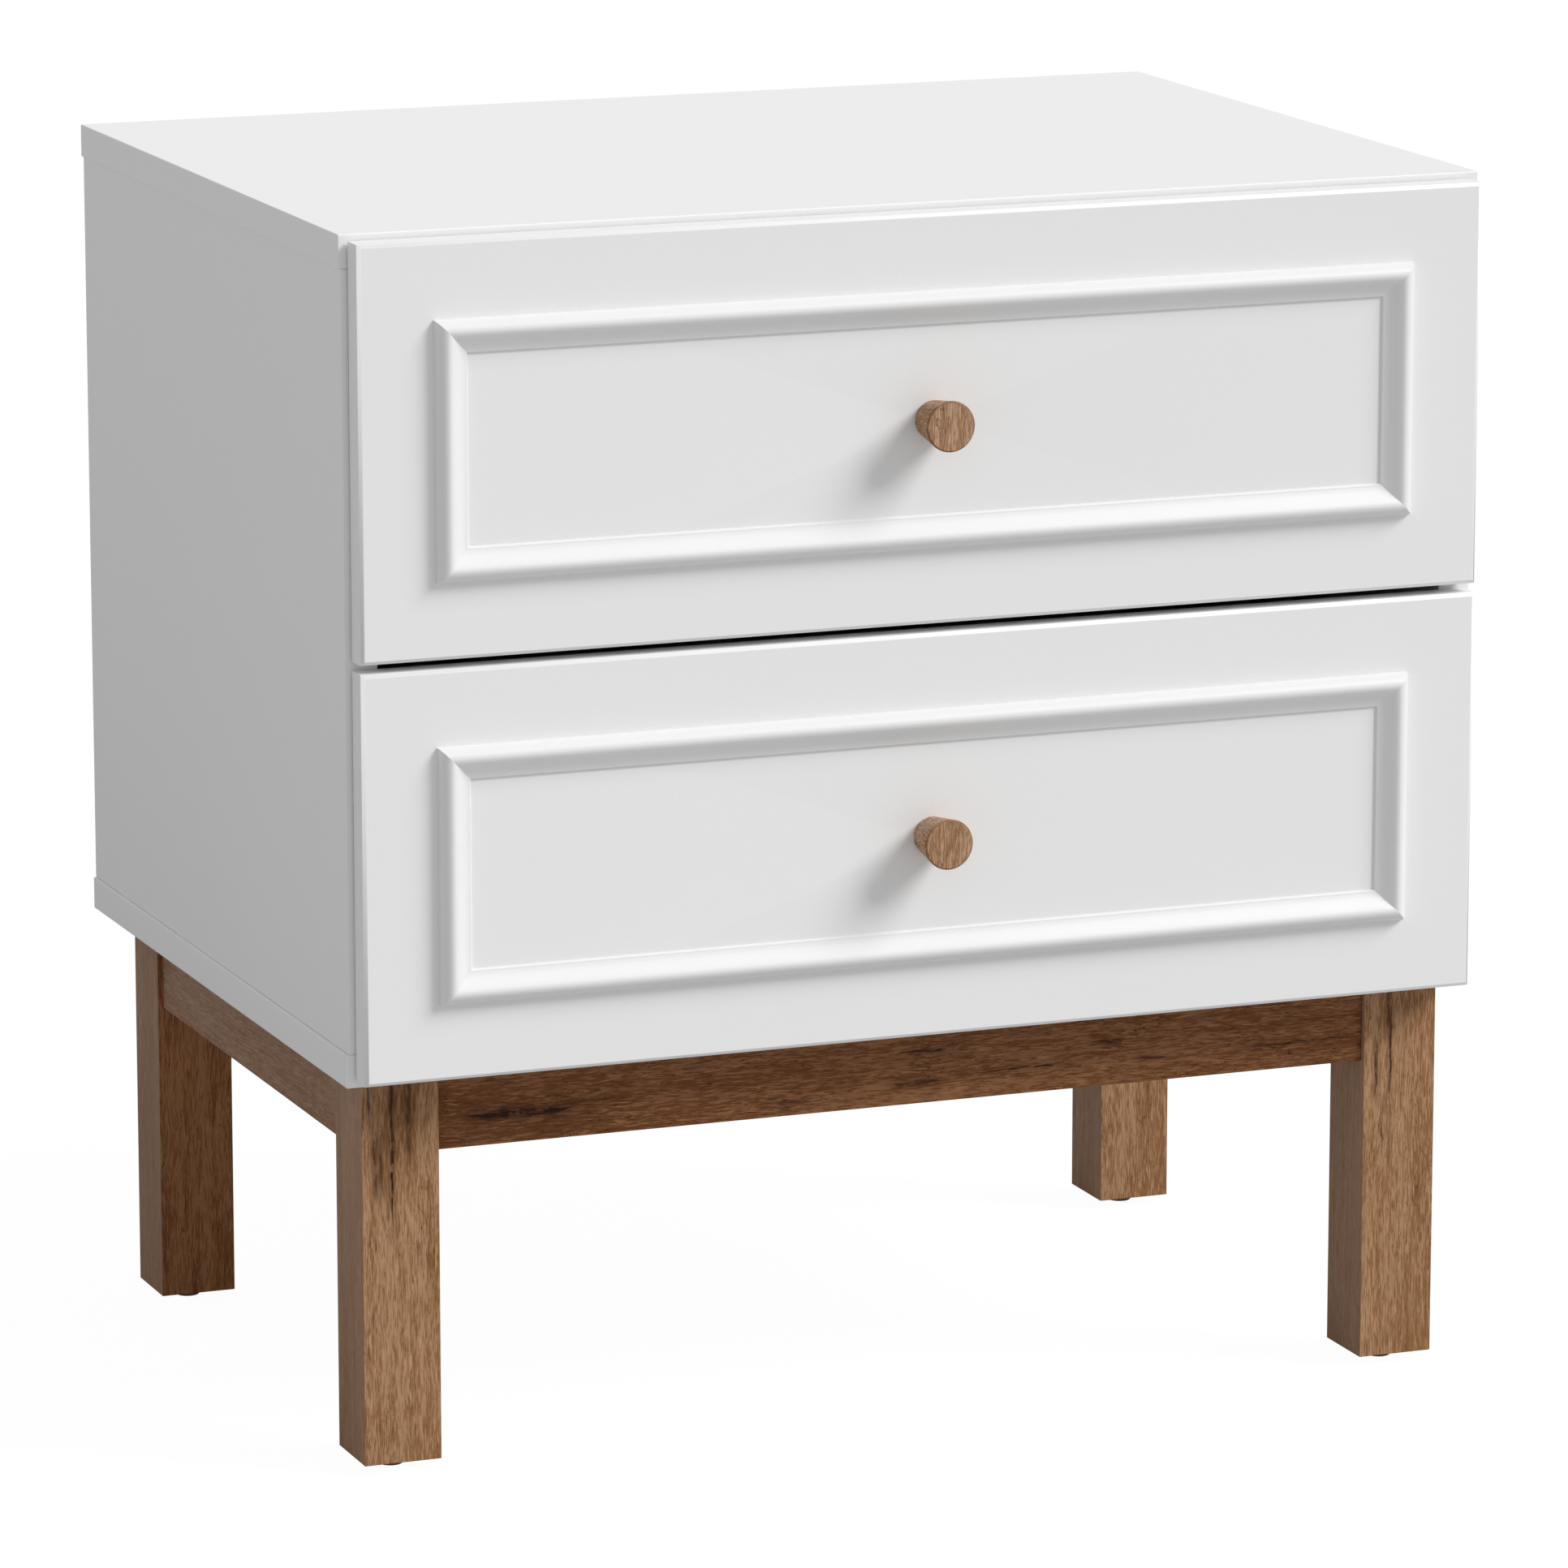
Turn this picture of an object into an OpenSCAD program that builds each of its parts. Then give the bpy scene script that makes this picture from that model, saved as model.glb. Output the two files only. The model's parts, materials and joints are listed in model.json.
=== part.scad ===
// Two-drawer nightstand: lacquered board cabinet on a wooden leg frame.
// Origin: middle of the whole object's footprint, on the floor. X is the width,
// +Y runs to the back, +Z is up. Millimetres.

/* [Cabinet] */
// Width of the top and bottom panels
cabinet_w = 570; // [470:1:700]
// Depth of the cabinet from its front edge to its back edge
cabinet_d = 402; // [330:1:490]
// Height of the cabinet, both panels included
cabinet_h = 397; // [330:0.1:520]
// Thickness of the cabinet boards
board_t = 16; // [15:0.1:20]
// How far the side panels stand in from the panel ends
side_setback = 1.2; // [0:0.1:3]
// Thickness of the hardboard back
back_t = 3; // [3:0.5:5]
// Distance from the rear edge to the hardboard back
back_inset = 10; // [6:1:14]
// Depth of the grooves that hold the hardboard back
back_groove = 5; // [3:0.5:7]

/* [Leg frame] */
// Height of a leg without its glide
leg_h = 185; // [140:5:260]
// Side of the square leg
leg_w = 38; // [36:0.1:50]
// Distance from the panel end to the side of a leg
leg_side_inset = 10.3; // [0:0.1:30]
// Distance from the cabinet's front edge to the front legs
leg_front_inset = 10.2; // [0:0.1:30]
// Distance from the cabinet's back edge to the back legs, room for a skirting board
leg_back_inset = 35.5; // [0:0.5:50]
// Height of the rails between the legs
rail_h = 36.5; // [34:0.5:60]
// Thickness of the rails
rail_t = 16; // [15:0.1:20]
// How far the rails stand back from the outer faces of the legs
rail_recess = 2.8; // [0:0.1:6]
// Diameter of a glide
glide_d = 12.5; // [10:0.5:24]
// Height of a glide under its leg
glide_h = 5; // [2:0.5:8]
// Diameter of a glide's pin
glide_pin_d = 6; // [4:0.5:8]
// Length of a glide's pin
glide_pin_l = 12; // [8:1:20]

/* [Drawer fronts] */
// Thickness of a drawer front
front_t = 13; // [12:1:19]
// Air between the cabinet's front edge and a closed drawer front
front_gap = 1.3; // [0.5:0.1:3]
// Distance from the panel end to the side of a drawer front
front_side_gap = 4.5; // [0:0.5:10]
// Distance from the cabinet's top or bottom to the nearer drawer front
front_end_gap = 3.2; // [0:0.1:8]
// Gap between the two drawer fronts
front_mid_gap = 4.3; // [2:0.1:6]
// Chamfer around the face of a drawer front
front_chamfer = 1.7; // [0.5:0.1:3]
// Distance from a drawer front's edge to its moulding
moulding_inset = 36; // [20:1:50]
// Width of the moulding
moulding_w = 16; // [14:1:24]
// Height of the moulding
moulding_h = 6.5; // [5:0.5:12]
// Width of the moulding's round bead
bead_w = 13; // [11:0.5:14]
// Height of the small step on the inner side of the bead
bead_step_h = 2; // [1:0.5:4]

/* [Knobs] */
// Diameter of a knob's face
knob_face_d = 24; // [18:1:40]
// Diameter of a knob where it meets the drawer front
knob_base_d = 18.4; // [14:0.1:30]
// Length of a knob
knob_l = 22; // [16:1:35]
// Chamfer around a knob's face
knob_chamfer = 0.6; // [0.2:0.1:2]
// Diameter of the knob screw
knob_screw_d = 4; // [3:0.5:5]
// How far the knob screw goes into the knob
knob_screw_bite = 9; // [6:1:12]

/* [Drawer boxes] */
// Room between a drawer box and the hardboard back
box_back_room = 40.3; // [20:0.1:80]
// Height of a drawer box's lower edge above its front's lower edge
box_rise = 24; // [22:1:30]
// Depth of a drawer box's upper edge below its front's upper edge
box_drop = 29; // [24:1:60]
// Thickness of the drawer box boards
box_t = 12; // [12:0.1:15]
// Thickness of the drawer bottom
box_bottom_t = 3; // [3:0.5:6]
// Height of the groove for the drawer bottom above the box's lower edge
box_bottom_up = 10; // [8:1:14]
// Depth of the groove for the drawer bottom
box_groove = 5; // [3:0.5:7]

/* [Roller runners] */
// Space for one pair of runners between the cabinet side and the drawer box
runner_space = 12.5; // [12.5:0.1:15]
// Thickness of the runner steel
runner_t = 1.2; // [1:0.1:1.5]
// Distance from the cabinet's front edge to its runners
runner_setback = 3; // [2:1:6]
// Distance from the end of a runner to the axle of its roller
roller_end = 12; // [10:1:20]
// Diameter of a roller
roller_d = 16; // [14:0.1:20]
// Width of a roller
roller_w = 7; // [5:0.5:7]
// Diameter of a roller's axle
axle_d = 4; // [3:0.5:5]
// Radial play of a roller on its axle
axle_play = 0.05; // [0.02:0.01:0.1]
// Clear air between a roller and the steel it runs along
running_gap = 0.3; // [0.3:0.05:0.5]

/* [Fittings] */
// Diameter of a wooden dowel
dowel_d = 8; // [6:1:8]
// Length of a wooden dowel
dowel_l = 30; // [24:1:35]
// Diameter of a cabinet cam lock
cam_d = 15; // [15:1:16]
// Depth of a cabinet cam lock
cam_depth = 12.5; // [12:0.5:13]
// Diameter of a drawer cam lock
small_cam_d = 12; // [10:1:13]
// Depth of a drawer cam lock
small_cam_depth = 9.5; // [9:0.5:10]
// Distance from a board's end to the middle of its cam lock
cam_reach = 24; // [20:1:34]
// Diameter of a cam bolt's thread
bolt_thread_d = 5; // [4:0.5:6]
// Length of a cam bolt's thread in a cabinet board
bolt_thread_l = 11; // [8:1:12]
// Length of a cam bolt's thread in a drawer board
small_thread_l = 9; // [7:1:10]
// Diameter of a cam bolt's shank
bolt_shank_d = 4; // [3:0.5:5]
// Diameter of a cam bolt's head and collar
bolt_head_d = 5; // [5:0.1:6]
// Diameter of the screws that hold the cabinet to the leg frame
base_screw_d = 4; // [3.5:0.5:5]
// Length of the screws that hold the cabinet to the leg frame
base_screw_l = 35; // [30:1:40]
// How far those screws go into the bottom panel
base_screw_bite = 11; // [8:1:13]
// Diameter of a runner screw
runner_screw_d = 3; // [3:0.5:4]
// Length of a runner screw
runner_screw_l = 10; // [8:1:11]
// Radial clearance of a fitting in its hole
fit_clear = 0.05; // [0.02:0.01:0.2]
// Clearance of a board in its groove, on each side
groove_clear = 0.1; // [0.05:0.05:0.3]

/* [Hidden] */
$fn = 64;
eps = 0.5;

LEVELS = ["lower", "upper"];

// Heights from the floor
cabinet_z = glide_h + leg_h;
side_z = cabinet_z + board_t;
side_h = cabinet_h - 2 * board_t;
top_z = cabinet_z + cabinet_h - board_t;

// The footprint runs from the knob faces to the back edge, so its middle is y = 0
face_y = -front_gap - front_t;
front_y = (knob_l - face_y - cabinet_d) / 2;

// Cabinet boards, measured from the middle in x and from the front edge in y
side_out = cabinet_w / 2 - side_setback;
side_in = side_out - board_t;
back_y = cabinet_d - back_inset - back_t;
inset_ys = [50, 82];
cam_ys = [inset_ys[0], cabinet_d - inset_ys[0] - back_inset];
dowel_ys = [inset_ys[1], cabinet_d - inset_ys[1] - back_inset];

// Leg frame, measured from its own middle
base_hx = cabinet_w / 2 - leg_side_inset;
base_hy = (cabinet_d - leg_front_inset - leg_back_inset) / 2;
base_mid_y = leg_front_inset + base_hy;
rail_mid = rail_recess + rail_t / 2;
rail_cam_down = 12;
rail_dowel_down = 27;
base_screw_x = base_hx / 2;
base_screw_sink = rail_h + base_screw_bite - base_screw_l;
base_screw_head_d = 2 * base_screw_d;
screw_head_h = 2.4;

// Drawers, measured from the cabinet's front edge in y
front_w = cabinet_w - 2 * front_side_gap;
front_h = (cabinet_h - 2 * front_end_gap - front_mid_gap) / 2;
box_out = side_in - runner_space;
box_in = box_out - box_t;
box_y = -front_gap;
box_l = back_y - box_back_room - box_y;
box_h = front_h - box_rise - box_drop;
box_back_y = box_y + box_l - box_t;
bottom_fit = box_groove - groove_clear;
box_cam_zs = [35, box_h - 32];
back_cam_zs = [45, box_h - 32];
moulding_l = front_w - 2 * moulding_inset;
moulding_tall = front_h - 2 * moulding_inset;
knob_bore_l = knob_screw_bite + 2;
knob_head_d = 2 * knob_screw_d;

// Runners, as long as the boxes: heights from the box's lower edge, widths from the
// cabinet side inwards
runner_l = box_l;
channel_z = -runner_t;
roller_z = channel_z + runner_t + running_gap + roller_d / 2;
flange_z = roller_z + roller_d / 2 + running_gap;
lip_z = flange_z + runner_t + 2 * running_gap;
channel_w = runner_space - runner_t - 0.9;
flange_in = 2;
axle_head_w = 0.8;
roller_side_gap = 0.1;
cabinet_roller_x = runner_t + 1;
drawer_roller_x = runner_space - runner_t - 1 - roller_w;
cabinet_roller_y = runner_setback + roller_end;
drawer_roller_y = box_y + runner_l - roller_end;
runner_screw_ends = [34, runner_l - 60];
runner_screw_ys = [runner_screw_ends[0], (runner_screw_ends[0] + runner_screw_ends[1]) / 2,
                   runner_screw_ends[1]];
cabinet_screw_z = roller_z;
drawer_screw_z = 5;
runner_ledge = 10;

// Level 0 is the lower drawer and level 1 is the upper one
function front_z(level) = cabinet_z + front_end_gap + level * (front_h + front_mid_gap);
function front_mid_z(level) = front_z(level) + front_h / 2;
function box_z(level) = front_z(level) + box_rise;

// ---------- helpers ----------

module placed() {
    translate([0, front_y, 0]) children();
}

module block(x, y, z) {
    translate([x[0], y[0], z[0]]) cube([x[1] - x[0], y[1] - y[0], z[1] - z[0]]);
}

// Keeps what is drawn for the right side, or turns it into the left one
module on_side(side) {
    mirror([side == "left" ? 1 : 0, 0, 0]) children();
}

module both_sides() {
    on_side("right") children();
    on_side("left") children();
}

// A rod from the origin along an axis: "x", "y", "z", or those with a minus
module rod(along, d, l) {
    turn = along == "x" ? [0, 90, 0] : along == "-x" ? [0, -90, 0]
         : along == "y" ? [-90, 0, 0] : along == "-y" ? [90, 0, 0]
         : along == "-z" ? [180, 0, 0] : [0, 0, 0];
    rotate(turn) cylinder(d = d, h = l);
}

// Cam bolt on the z axis: thread below 0, collar at 0, head in the cam
module cam_bolt(thread_l) {
    translate([0, 0, -thread_l]) cylinder(d = bolt_thread_d, h = thread_l);
    cylinder(d = bolt_head_d, h = 1);
    cylinder(d = bolt_shank_d, h = cam_reach);
    translate([0, 0, cam_reach - 2]) cylinder(d = bolt_head_d, h = 3);
}

module cam_bolt_thread_hole(thread_l) {
    translate([0, 0, -thread_l - 0.5])
        cylinder(d = bolt_thread_d + 2 * fit_clear, h = thread_l + 0.5 + eps);
}

module cam_bolt_shank_hole() {
    translate([0, 0, -eps]) cylinder(d = bolt_head_d + 1, h = cam_reach + eps);
}

// Cam lock whose face is at z = 0, with the bolt coming from -x at bolt_depth
module cam_lock(d, depth, bolt_depth) {
    cross_w = 1.4;
    difference() {
        translate([0, 0, -depth]) cylinder(d = d, h = depth);
        translate([-d, 0, -bolt_depth]) rod("x", bolt_head_d + 0.6, d + 2);
        for (a = [45, 135]) rotate(a) cube([d * 0.6, cross_w, 3], center = true);
    }
}

module cam_pocket(d, depth) {
    translate([0, 0, -depth - 0.3]) cylinder(d = d + 2 * fit_clear, h = depth + 0.3 + eps);
}

module dowel_hole(along) {
    rotate(along == "y" ? [90, 0, 0] : along == "x" ? [0, 90, 0] : [0, 0, 0])
        cylinder(d = dowel_d + 2 * fit_clear, h = dowel_l + 1, center = true);
}

module dowel(along) {
    rotate(along == "y" ? [90, 0, 0] : along == "x" ? [0, 90, 0] : [0, 0, 0])
        cylinder(d = dowel_d, h = dowel_l, center = true);
}

// ---------- cabinet ----------

// Where the side panels meet the top and bottom panels: the bolt's z axis
// points from the panel into the side board
module at_side_bolts() {
    side_mid = side_out - board_t / 2;
    both_sides() for (y = cam_ys) {
        translate([side_mid, y, top_z]) rotate([180, 0, 0]) children();
        translate([side_mid, y, side_z]) children();
    }
}

module at_side_dowels() {
    side_mid = side_out - board_t / 2;
    both_sides() for (y = dowel_ys, z = [top_z, side_z]) translate([side_mid, y, z]) children();
}

// Cam locks in the inner faces of the side panels, bolt coming along -x of the cam
module at_side_cams() {
    both_sides() for (y = cam_ys) {
        translate([side_in, y, top_z - cam_reach]) rotate([0, 90, 180]) children();
        translate([side_in, y, side_z + cam_reach]) rotate([0, -90, 0]) children();
    }
}

module back_slot() {
    slot = side_in + back_groove;
    block([-slot, slot], [back_y - groove_clear, back_y + back_t + groove_clear],
          [side_z - back_groove, top_z + back_groove]);
}

module cabinet_screw_holes() {
    both_sides() for (level = [0, 1], y = runner_screw_ys)
        translate([side_in - eps, runner_setback + y, box_z(level) + cabinet_screw_z])
            rod("x", runner_screw_d + 2 * fit_clear, runner_screw_l + eps);
}

module top_panel() {
    color("white") placed() difference() {
        block([-cabinet_w / 2, cabinet_w / 2], [0, cabinet_d], [top_z, top_z + board_t]);
        at_side_bolts() cam_bolt_thread_hole(bolt_thread_l);
        at_side_dowels() dowel_hole("z");
        back_slot();
    }
}

module bottom_panel() {
    color("white") placed() difference() {
        block([-cabinet_w / 2, cabinet_w / 2], [0, cabinet_d], [cabinet_z, side_z]);
        at_side_bolts() cam_bolt_thread_hole(bolt_thread_l);
        at_side_dowels() dowel_hole("z");
        back_slot();
        at_base_screws() rod("z", base_screw_d + 2 * fit_clear, base_screw_l + 0.5);
    }
}

module side_panel(side) {
    color("white") placed() difference() {
        on_side(side) block([side_in, side_out], [0, cabinet_d], [side_z, top_z]);
        at_side_bolts() cam_bolt_shank_hole();
        at_side_cams() cam_pocket(cam_d, cam_depth);
        at_side_dowels() dowel_hole("z");
        back_slot();
        cabinet_screw_holes();
    }
}

module back_panel() {
    edge = side_in + back_groove - groove_clear;
    color("white") placed()
        block([-edge, edge], [back_y, back_y + back_t],
              [side_z - back_groove + groove_clear, top_z + back_groove - groove_clear]);
}

// ---------- leg frame ----------

// Draws for the right back corner of the leg frame, or mirrors it to another one
module at_corner(side, end) {
    translate([0, base_mid_y, 0])
        mirror([side == "left" ? 1 : 0, 0, 0]) mirror([0, end == "front" ? 1 : 0, 0])
            children();
}

module at_corners() {
    for (side = ["left", "right"], end = ["front", "back"]) at_corner(side, end) children();
}

// Bolt axes at the right back leg: one from the back rail, one from the side rail
module at_leg_bolts() {
    z = cabinet_z - rail_cam_down;
    translate([base_hx - leg_w, base_hy - rail_mid, z]) rotate([0, -90, 0]) children();
    translate([base_hx - rail_mid, base_hy - leg_w, z]) rotate([90, 0, 0]) children();
}

module leg_dowel_holes() {
    z = cabinet_z - rail_dowel_down;
    translate([base_hx - leg_w, base_hy - rail_mid, z]) dowel_hole("x");
    translate([base_hx - rail_mid, base_hy - leg_w, z]) dowel_hole("y");
}

module leg_dowels() {
    z = cabinet_z - rail_dowel_down;
    translate([base_hx - leg_w, base_hy - rail_mid, z]) dowel("x");
    translate([base_hx - rail_mid, base_hy - leg_w, z]) dowel("y");
}

// Cam locks in the inner faces of the two rails that meet the right back leg
module at_rail_cams() {
    z = cabinet_z - rail_cam_down;
    inner = rail_recess + rail_t;
    translate([base_hx - leg_w - cam_reach, base_hy - inner, z])
        rotate([90, 0, 0]) rotate([0, 0, 180]) children();
    translate([base_hx - inner, base_hy - leg_w - cam_reach, z])
        rotate([0, -90, 0]) rotate([0, 0, -90]) children();
}

module at_base_screws() {
    z = cabinet_z - rail_h + base_screw_sink;
    translate([0, base_mid_y, z]) {
        for (x = [-base_screw_x, base_screw_x], y = [-1, 1])
            translate([x, y * (base_hy - rail_mid), 0]) children();
        for (x = [-1, 1]) translate([x * (base_hx - rail_mid), 0, 0]) children();
    }
}

module base_screw_way() {
    rod("z", base_screw_d + 1, rail_h);
    translate([0, 0, screw_head_h]) rod("-z", base_screw_head_d + 1, rail_h);
}

module glide_pin(d, l) {
    translate([base_hx - leg_w / 2, base_hy - leg_w / 2, glide_h]) rod("z", d, l);
}

module leg(side, end) {
    color("sienna") placed() at_corner(side, end) difference() {
        block([base_hx - leg_w, base_hx], [base_hy - leg_w, base_hy], [glide_h, cabinet_z]);
        at_leg_bolts() cam_bolt_thread_hole(bolt_thread_l);
        leg_dowel_holes();
        translate([0, 0, -eps]) glide_pin(glide_pin_d + 2 * fit_clear, glide_pin_l + 1 + eps);
    }
}

module rail_cuts() {
    at_corners() {
        at_leg_bolts() cam_bolt_shank_hole();
        at_rail_cams() cam_pocket(cam_d, cam_depth);
        leg_dowel_holes();
    }
    at_base_screws() base_screw_way();
}

module cross_rail(end) {
    half = base_hx - leg_w;
    color("sienna") placed() difference() {
        at_corner("right", end)
            block([-half, half], [base_hy - rail_recess - rail_t, base_hy - rail_recess],
                  [cabinet_z - rail_h, cabinet_z]);
        rail_cuts();
    }
}

module side_rail(side) {
    half = base_hy - leg_w;
    color("sienna") placed() difference() {
        at_corner(side, "back")
            block([base_hx - rail_recess - rail_t, base_hx - rail_recess], [-half, half],
                  [cabinet_z - rail_h, cabinet_z]);
        rail_cuts();
    }
}

module glides() {
    color("saddlebrown") placed() at_corners() {
        glide_pin(glide_pin_d, glide_pin_l);
        translate([base_hx - leg_w / 2, base_hy - leg_w / 2, 0])
            rotate_extrude() polygon([
                [0, 0], [glide_d / 2 - 0.8, 0], [glide_d / 2, 0.8], [glide_d / 2, glide_h],
                [0, glide_h]
            ]);
    }
}

// ---------- fittings of the cabinet and the leg frame ----------

module dowels() {
    color("burlywood") placed() {
        at_side_dowels() dowel("z");
        at_corners() leg_dowels();
    }
}

module cam_bolts() {
    color("silver") placed() {
        at_side_bolts() cam_bolt(bolt_thread_l);
        at_corners() at_leg_bolts() cam_bolt(bolt_thread_l);
    }
}

module cam_locks() {
    color("darkgray") placed() {
        at_side_cams() cam_lock(cam_d, cam_depth, board_t / 2);
        at_corners() at_rail_cams() cam_lock(cam_d, cam_depth, rail_t / 2);
    }
}

module base_screws() {
    color("silver") placed() at_base_screws() difference() {
        union() {
            rod("z", base_screw_d, base_screw_l);
            cylinder(d1 = base_screw_head_d, d2 = base_screw_d, h = screw_head_h);
        }
        cube([base_screw_d, 1, 2], center = true);
        cube([1, base_screw_d, 2], center = true);
    }
}

// ---------- roller runners ----------

// The runner pair's frame: x from the cabinet side inwards, z from the box's lower edge
module at_runner(level, side) {
    translate([0, 0, box_z(level)]) on_side(side) translate([side_in, 0, 0])
        mirror([1, 0, 0]) children();
}

// Axle with a riveted head, from x = 0 to the far side of its roller
module axle(side_gap) {
    reach = side_gap + roller_w + roller_side_gap;
    rod("x", axle_d, reach + axle_head_w);
    translate([reach, 0, 0]) rod("x", axle_d + 3, axle_head_w);
}

module screw_sink() {
    rod("x", runner_screw_d + 2 * fit_clear, 2 * runner_t);
    translate([runner_t, 0, 0]) rotate([0, -90, 0])
        cylinder(d1 = 2 * runner_screw_d + 2 * fit_clear, d2 = runner_screw_d, h = runner_t);
}

module runner_screw() {
    rotate([0, -90, 0]) {
        translate([0, 0, -runner_t]) cylinder(d1 = 2 * runner_screw_d, d2 = runner_screw_d, h = runner_t);
        cylinder(d = runner_screw_d, h = runner_screw_l - runner_t);
    }
}

module cabinet_runner(level, side) {
    ys = [runner_setback, runner_setback + runner_l];
    color("gainsboro") placed() at_runner(level, side) {
        difference() {
            union() {
                block([0, runner_t], ys, [channel_z, lip_z + runner_t]);
                block([0, channel_w], ys, [channel_z, channel_z + runner_t]);
                block([0, channel_w], ys, [lip_z, lip_z + runner_t]);
            }
            for (y = runner_screw_ys)
                translate([0, runner_setback + y, cabinet_screw_z]) screw_sink();
        }
        translate([runner_t, cabinet_roller_y, roller_z]) axle(cabinet_roller_x - runner_t);
    }
}

module drawer_runner(level, side) {
    ys = [box_y, box_y + runner_l];
    web = runner_space - runner_t;
    color("gainsboro") placed() at_runner(level, side) {
        difference() {
            union() {
                block([web, runner_space], ys, [-runner_t, flange_z + runner_t]);
                block([flange_in, runner_space], ys, [flange_z, flange_z + runner_t]);
                block([web, runner_space + runner_ledge], ys, [-runner_t, 0]);
            }
            for (y = runner_screw_ys) translate([runner_space, box_y + y, drawer_screw_z])
                mirror([1, 0, 0]) screw_sink();
        }
        translate([web, drawer_roller_y, roller_z]) mirror([1, 0, 0])
            axle(web - drawer_roller_x - roller_w);
    }
}

module roller() {
    rim = 0.6;
    r = roller_d / 2;
    difference() {
        rotate([0, 90, 0]) rotate_extrude() polygon([
            [0, 0], [r - rim, 0], [r, rim], [r, roller_w - rim], [r - rim, roller_w],
            [0, roller_w]
        ]);
        translate([-eps, 0, 0]) rod("x", axle_d + 2 * axle_play, roller_w + 2 * eps);
    }
}

module cabinet_roller(level, side) {
    color("whitesmoke") placed() at_runner(level, side)
        translate([cabinet_roller_x, cabinet_roller_y, roller_z]) roller();
}

module drawer_roller(level, side) {
    color("whitesmoke") placed() at_runner(level, side)
        translate([drawer_roller_x, drawer_roller_y, roller_z]) roller();
}

module cabinet_runner_screws() {
    color("silver") placed() for (level = [0, 1], side = ["left", "right"], y = runner_screw_ys)
        at_runner(level, side) translate([0, runner_setback + y, cabinet_screw_z]) runner_screw();
}

module drawer_runner_screws(level) {
    color("silver") placed() for (side = ["left", "right"], y = runner_screw_ys)
        at_runner(level, side) translate([runner_space, box_y + y, drawer_screw_z])
            mirror([1, 0, 0]) runner_screw();
}

// ---------- drawers ----------

// Front ends of the drawer sides: bolt axes point back into the sides
module at_front_bolts(level) {
    both_sides() for (z = box_cam_zs)
        translate([box_out - box_t / 2, box_y, box_z(level) + z]) rotate([-90, 0, 0]) children();
}

module at_front_cams(level) {
    both_sides() for (z = box_cam_zs)
        translate([box_in, box_y + cam_reach, box_z(level) + z])
            rotate([0, -90, 0]) rotate([0, 0, 90]) children();
}

// Inner faces of the drawer sides: bolt axes point into the ends of the back
module at_back_bolts(level) {
    both_sides() for (z = back_cam_zs)
        translate([box_in, box_back_y + box_t / 2, box_z(level) + z]) rotate([0, -90, 0]) children();
}

module at_back_cams(level) {
    both_sides() for (z = back_cam_zs)
        translate([box_in - cam_reach, box_back_y + box_t, box_z(level) + z])
            rotate([-90, 0, 0]) rotate([0, 0, 180]) children();
}

module bottom_slot(level) {
    slot = box_in + box_groove;
    z = box_z(level) + box_bottom_up;
    block([-slot, slot], [box_y - box_groove, box_y + box_l + eps],
          [z - groove_clear, z + box_bottom_t + groove_clear]);
}

// A front board with its face edges chamfered
module drawer_front(level) {
    hx = front_w / 2;
    c = front_chamfer;
    z = front_z(level);
    color("white") placed() difference() {
        intersection() {
            translate([0, 0, z]) linear_extrude(front_h) polygon([
                [-hx, box_y], [-hx, face_y + c], [-hx + c, face_y],
                [hx - c, face_y], [hx, face_y + c], [hx, box_y]
            ]);
            translate([-hx, 0, z]) rotate([90, 0, 90]) linear_extrude(front_w) polygon([
                [box_y, 0], [box_y, front_h], [face_y + c, front_h],
                [face_y, front_h - c], [face_y, c], [face_y + c, 0]
            ]);
        }
        at_front_bolts(level) cam_bolt_thread_hole(small_thread_l);
        bottom_slot(level);
        translate([0, box_y + eps, front_mid_z(level)])
            rod("-y", knob_screw_d + 0.5, front_t + 2 * eps);
    }
}

// Bead with a small step on its inner side: x from the outer edge inwards, y is the height
module moulding_profile() {
    square([moulding_w, bead_step_h]);
    intersection() {
        translate([bead_w / 2, moulding_h - bead_w / 2]) circle(d = bead_w);
        square([bead_w, moulding_h]);
    }
}

module mitre(long, tall) {
    w = moulding_w;
    rotate([90, 0, 0]) linear_extrude(4 * moulding_h, center = true) polygon([
        [-long / 2, tall / 2], [long / 2, tall / 2],
        [long / 2 - w, tall / 2 - w], [-long / 2 + w, tall / 2 - w]
    ]);
}

module moulding_rail() {
    intersection() {
        translate([0, 0, moulding_tall / 2]) rotate([0, 0, 180]) rotate([0, 90, 0])
            linear_extrude(moulding_l, center = true) moulding_profile();
        mitre(moulding_l, moulding_tall);
    }
}

module moulding_stile() {
    intersection() {
        translate([moulding_l / 2, 0, 0]) rotate([0, 0, 180])
            linear_extrude(moulding_tall, center = true) moulding_profile();
        rotate([0, 90, 0]) mitre(moulding_tall, moulding_l);
    }
}

module moulding_rails(level) {
    color("white") placed() translate([0, face_y, front_mid_z(level)]) {
        moulding_rail();
        mirror([0, 0, 1]) moulding_rail();
    }
}

module moulding_stiles(level) {
    color("white") placed() translate([0, face_y, front_mid_z(level)]) both_sides() moulding_stile();
}

module knob(level) {
    f = knob_face_d / 2;
    color("peru") placed() translate([0, face_y, front_mid_z(level)]) difference() {
        rotate([90, 0, 0]) rotate_extrude() polygon([
            [0, 0], [knob_base_d / 2, 0], [f, knob_l - knob_chamfer],
            [f - knob_chamfer, knob_l], [0, knob_l]
        ]);
        translate([0, eps, 0]) rod("-y", knob_screw_d + 2 * fit_clear, knob_bore_l + eps);
    }
}

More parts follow.
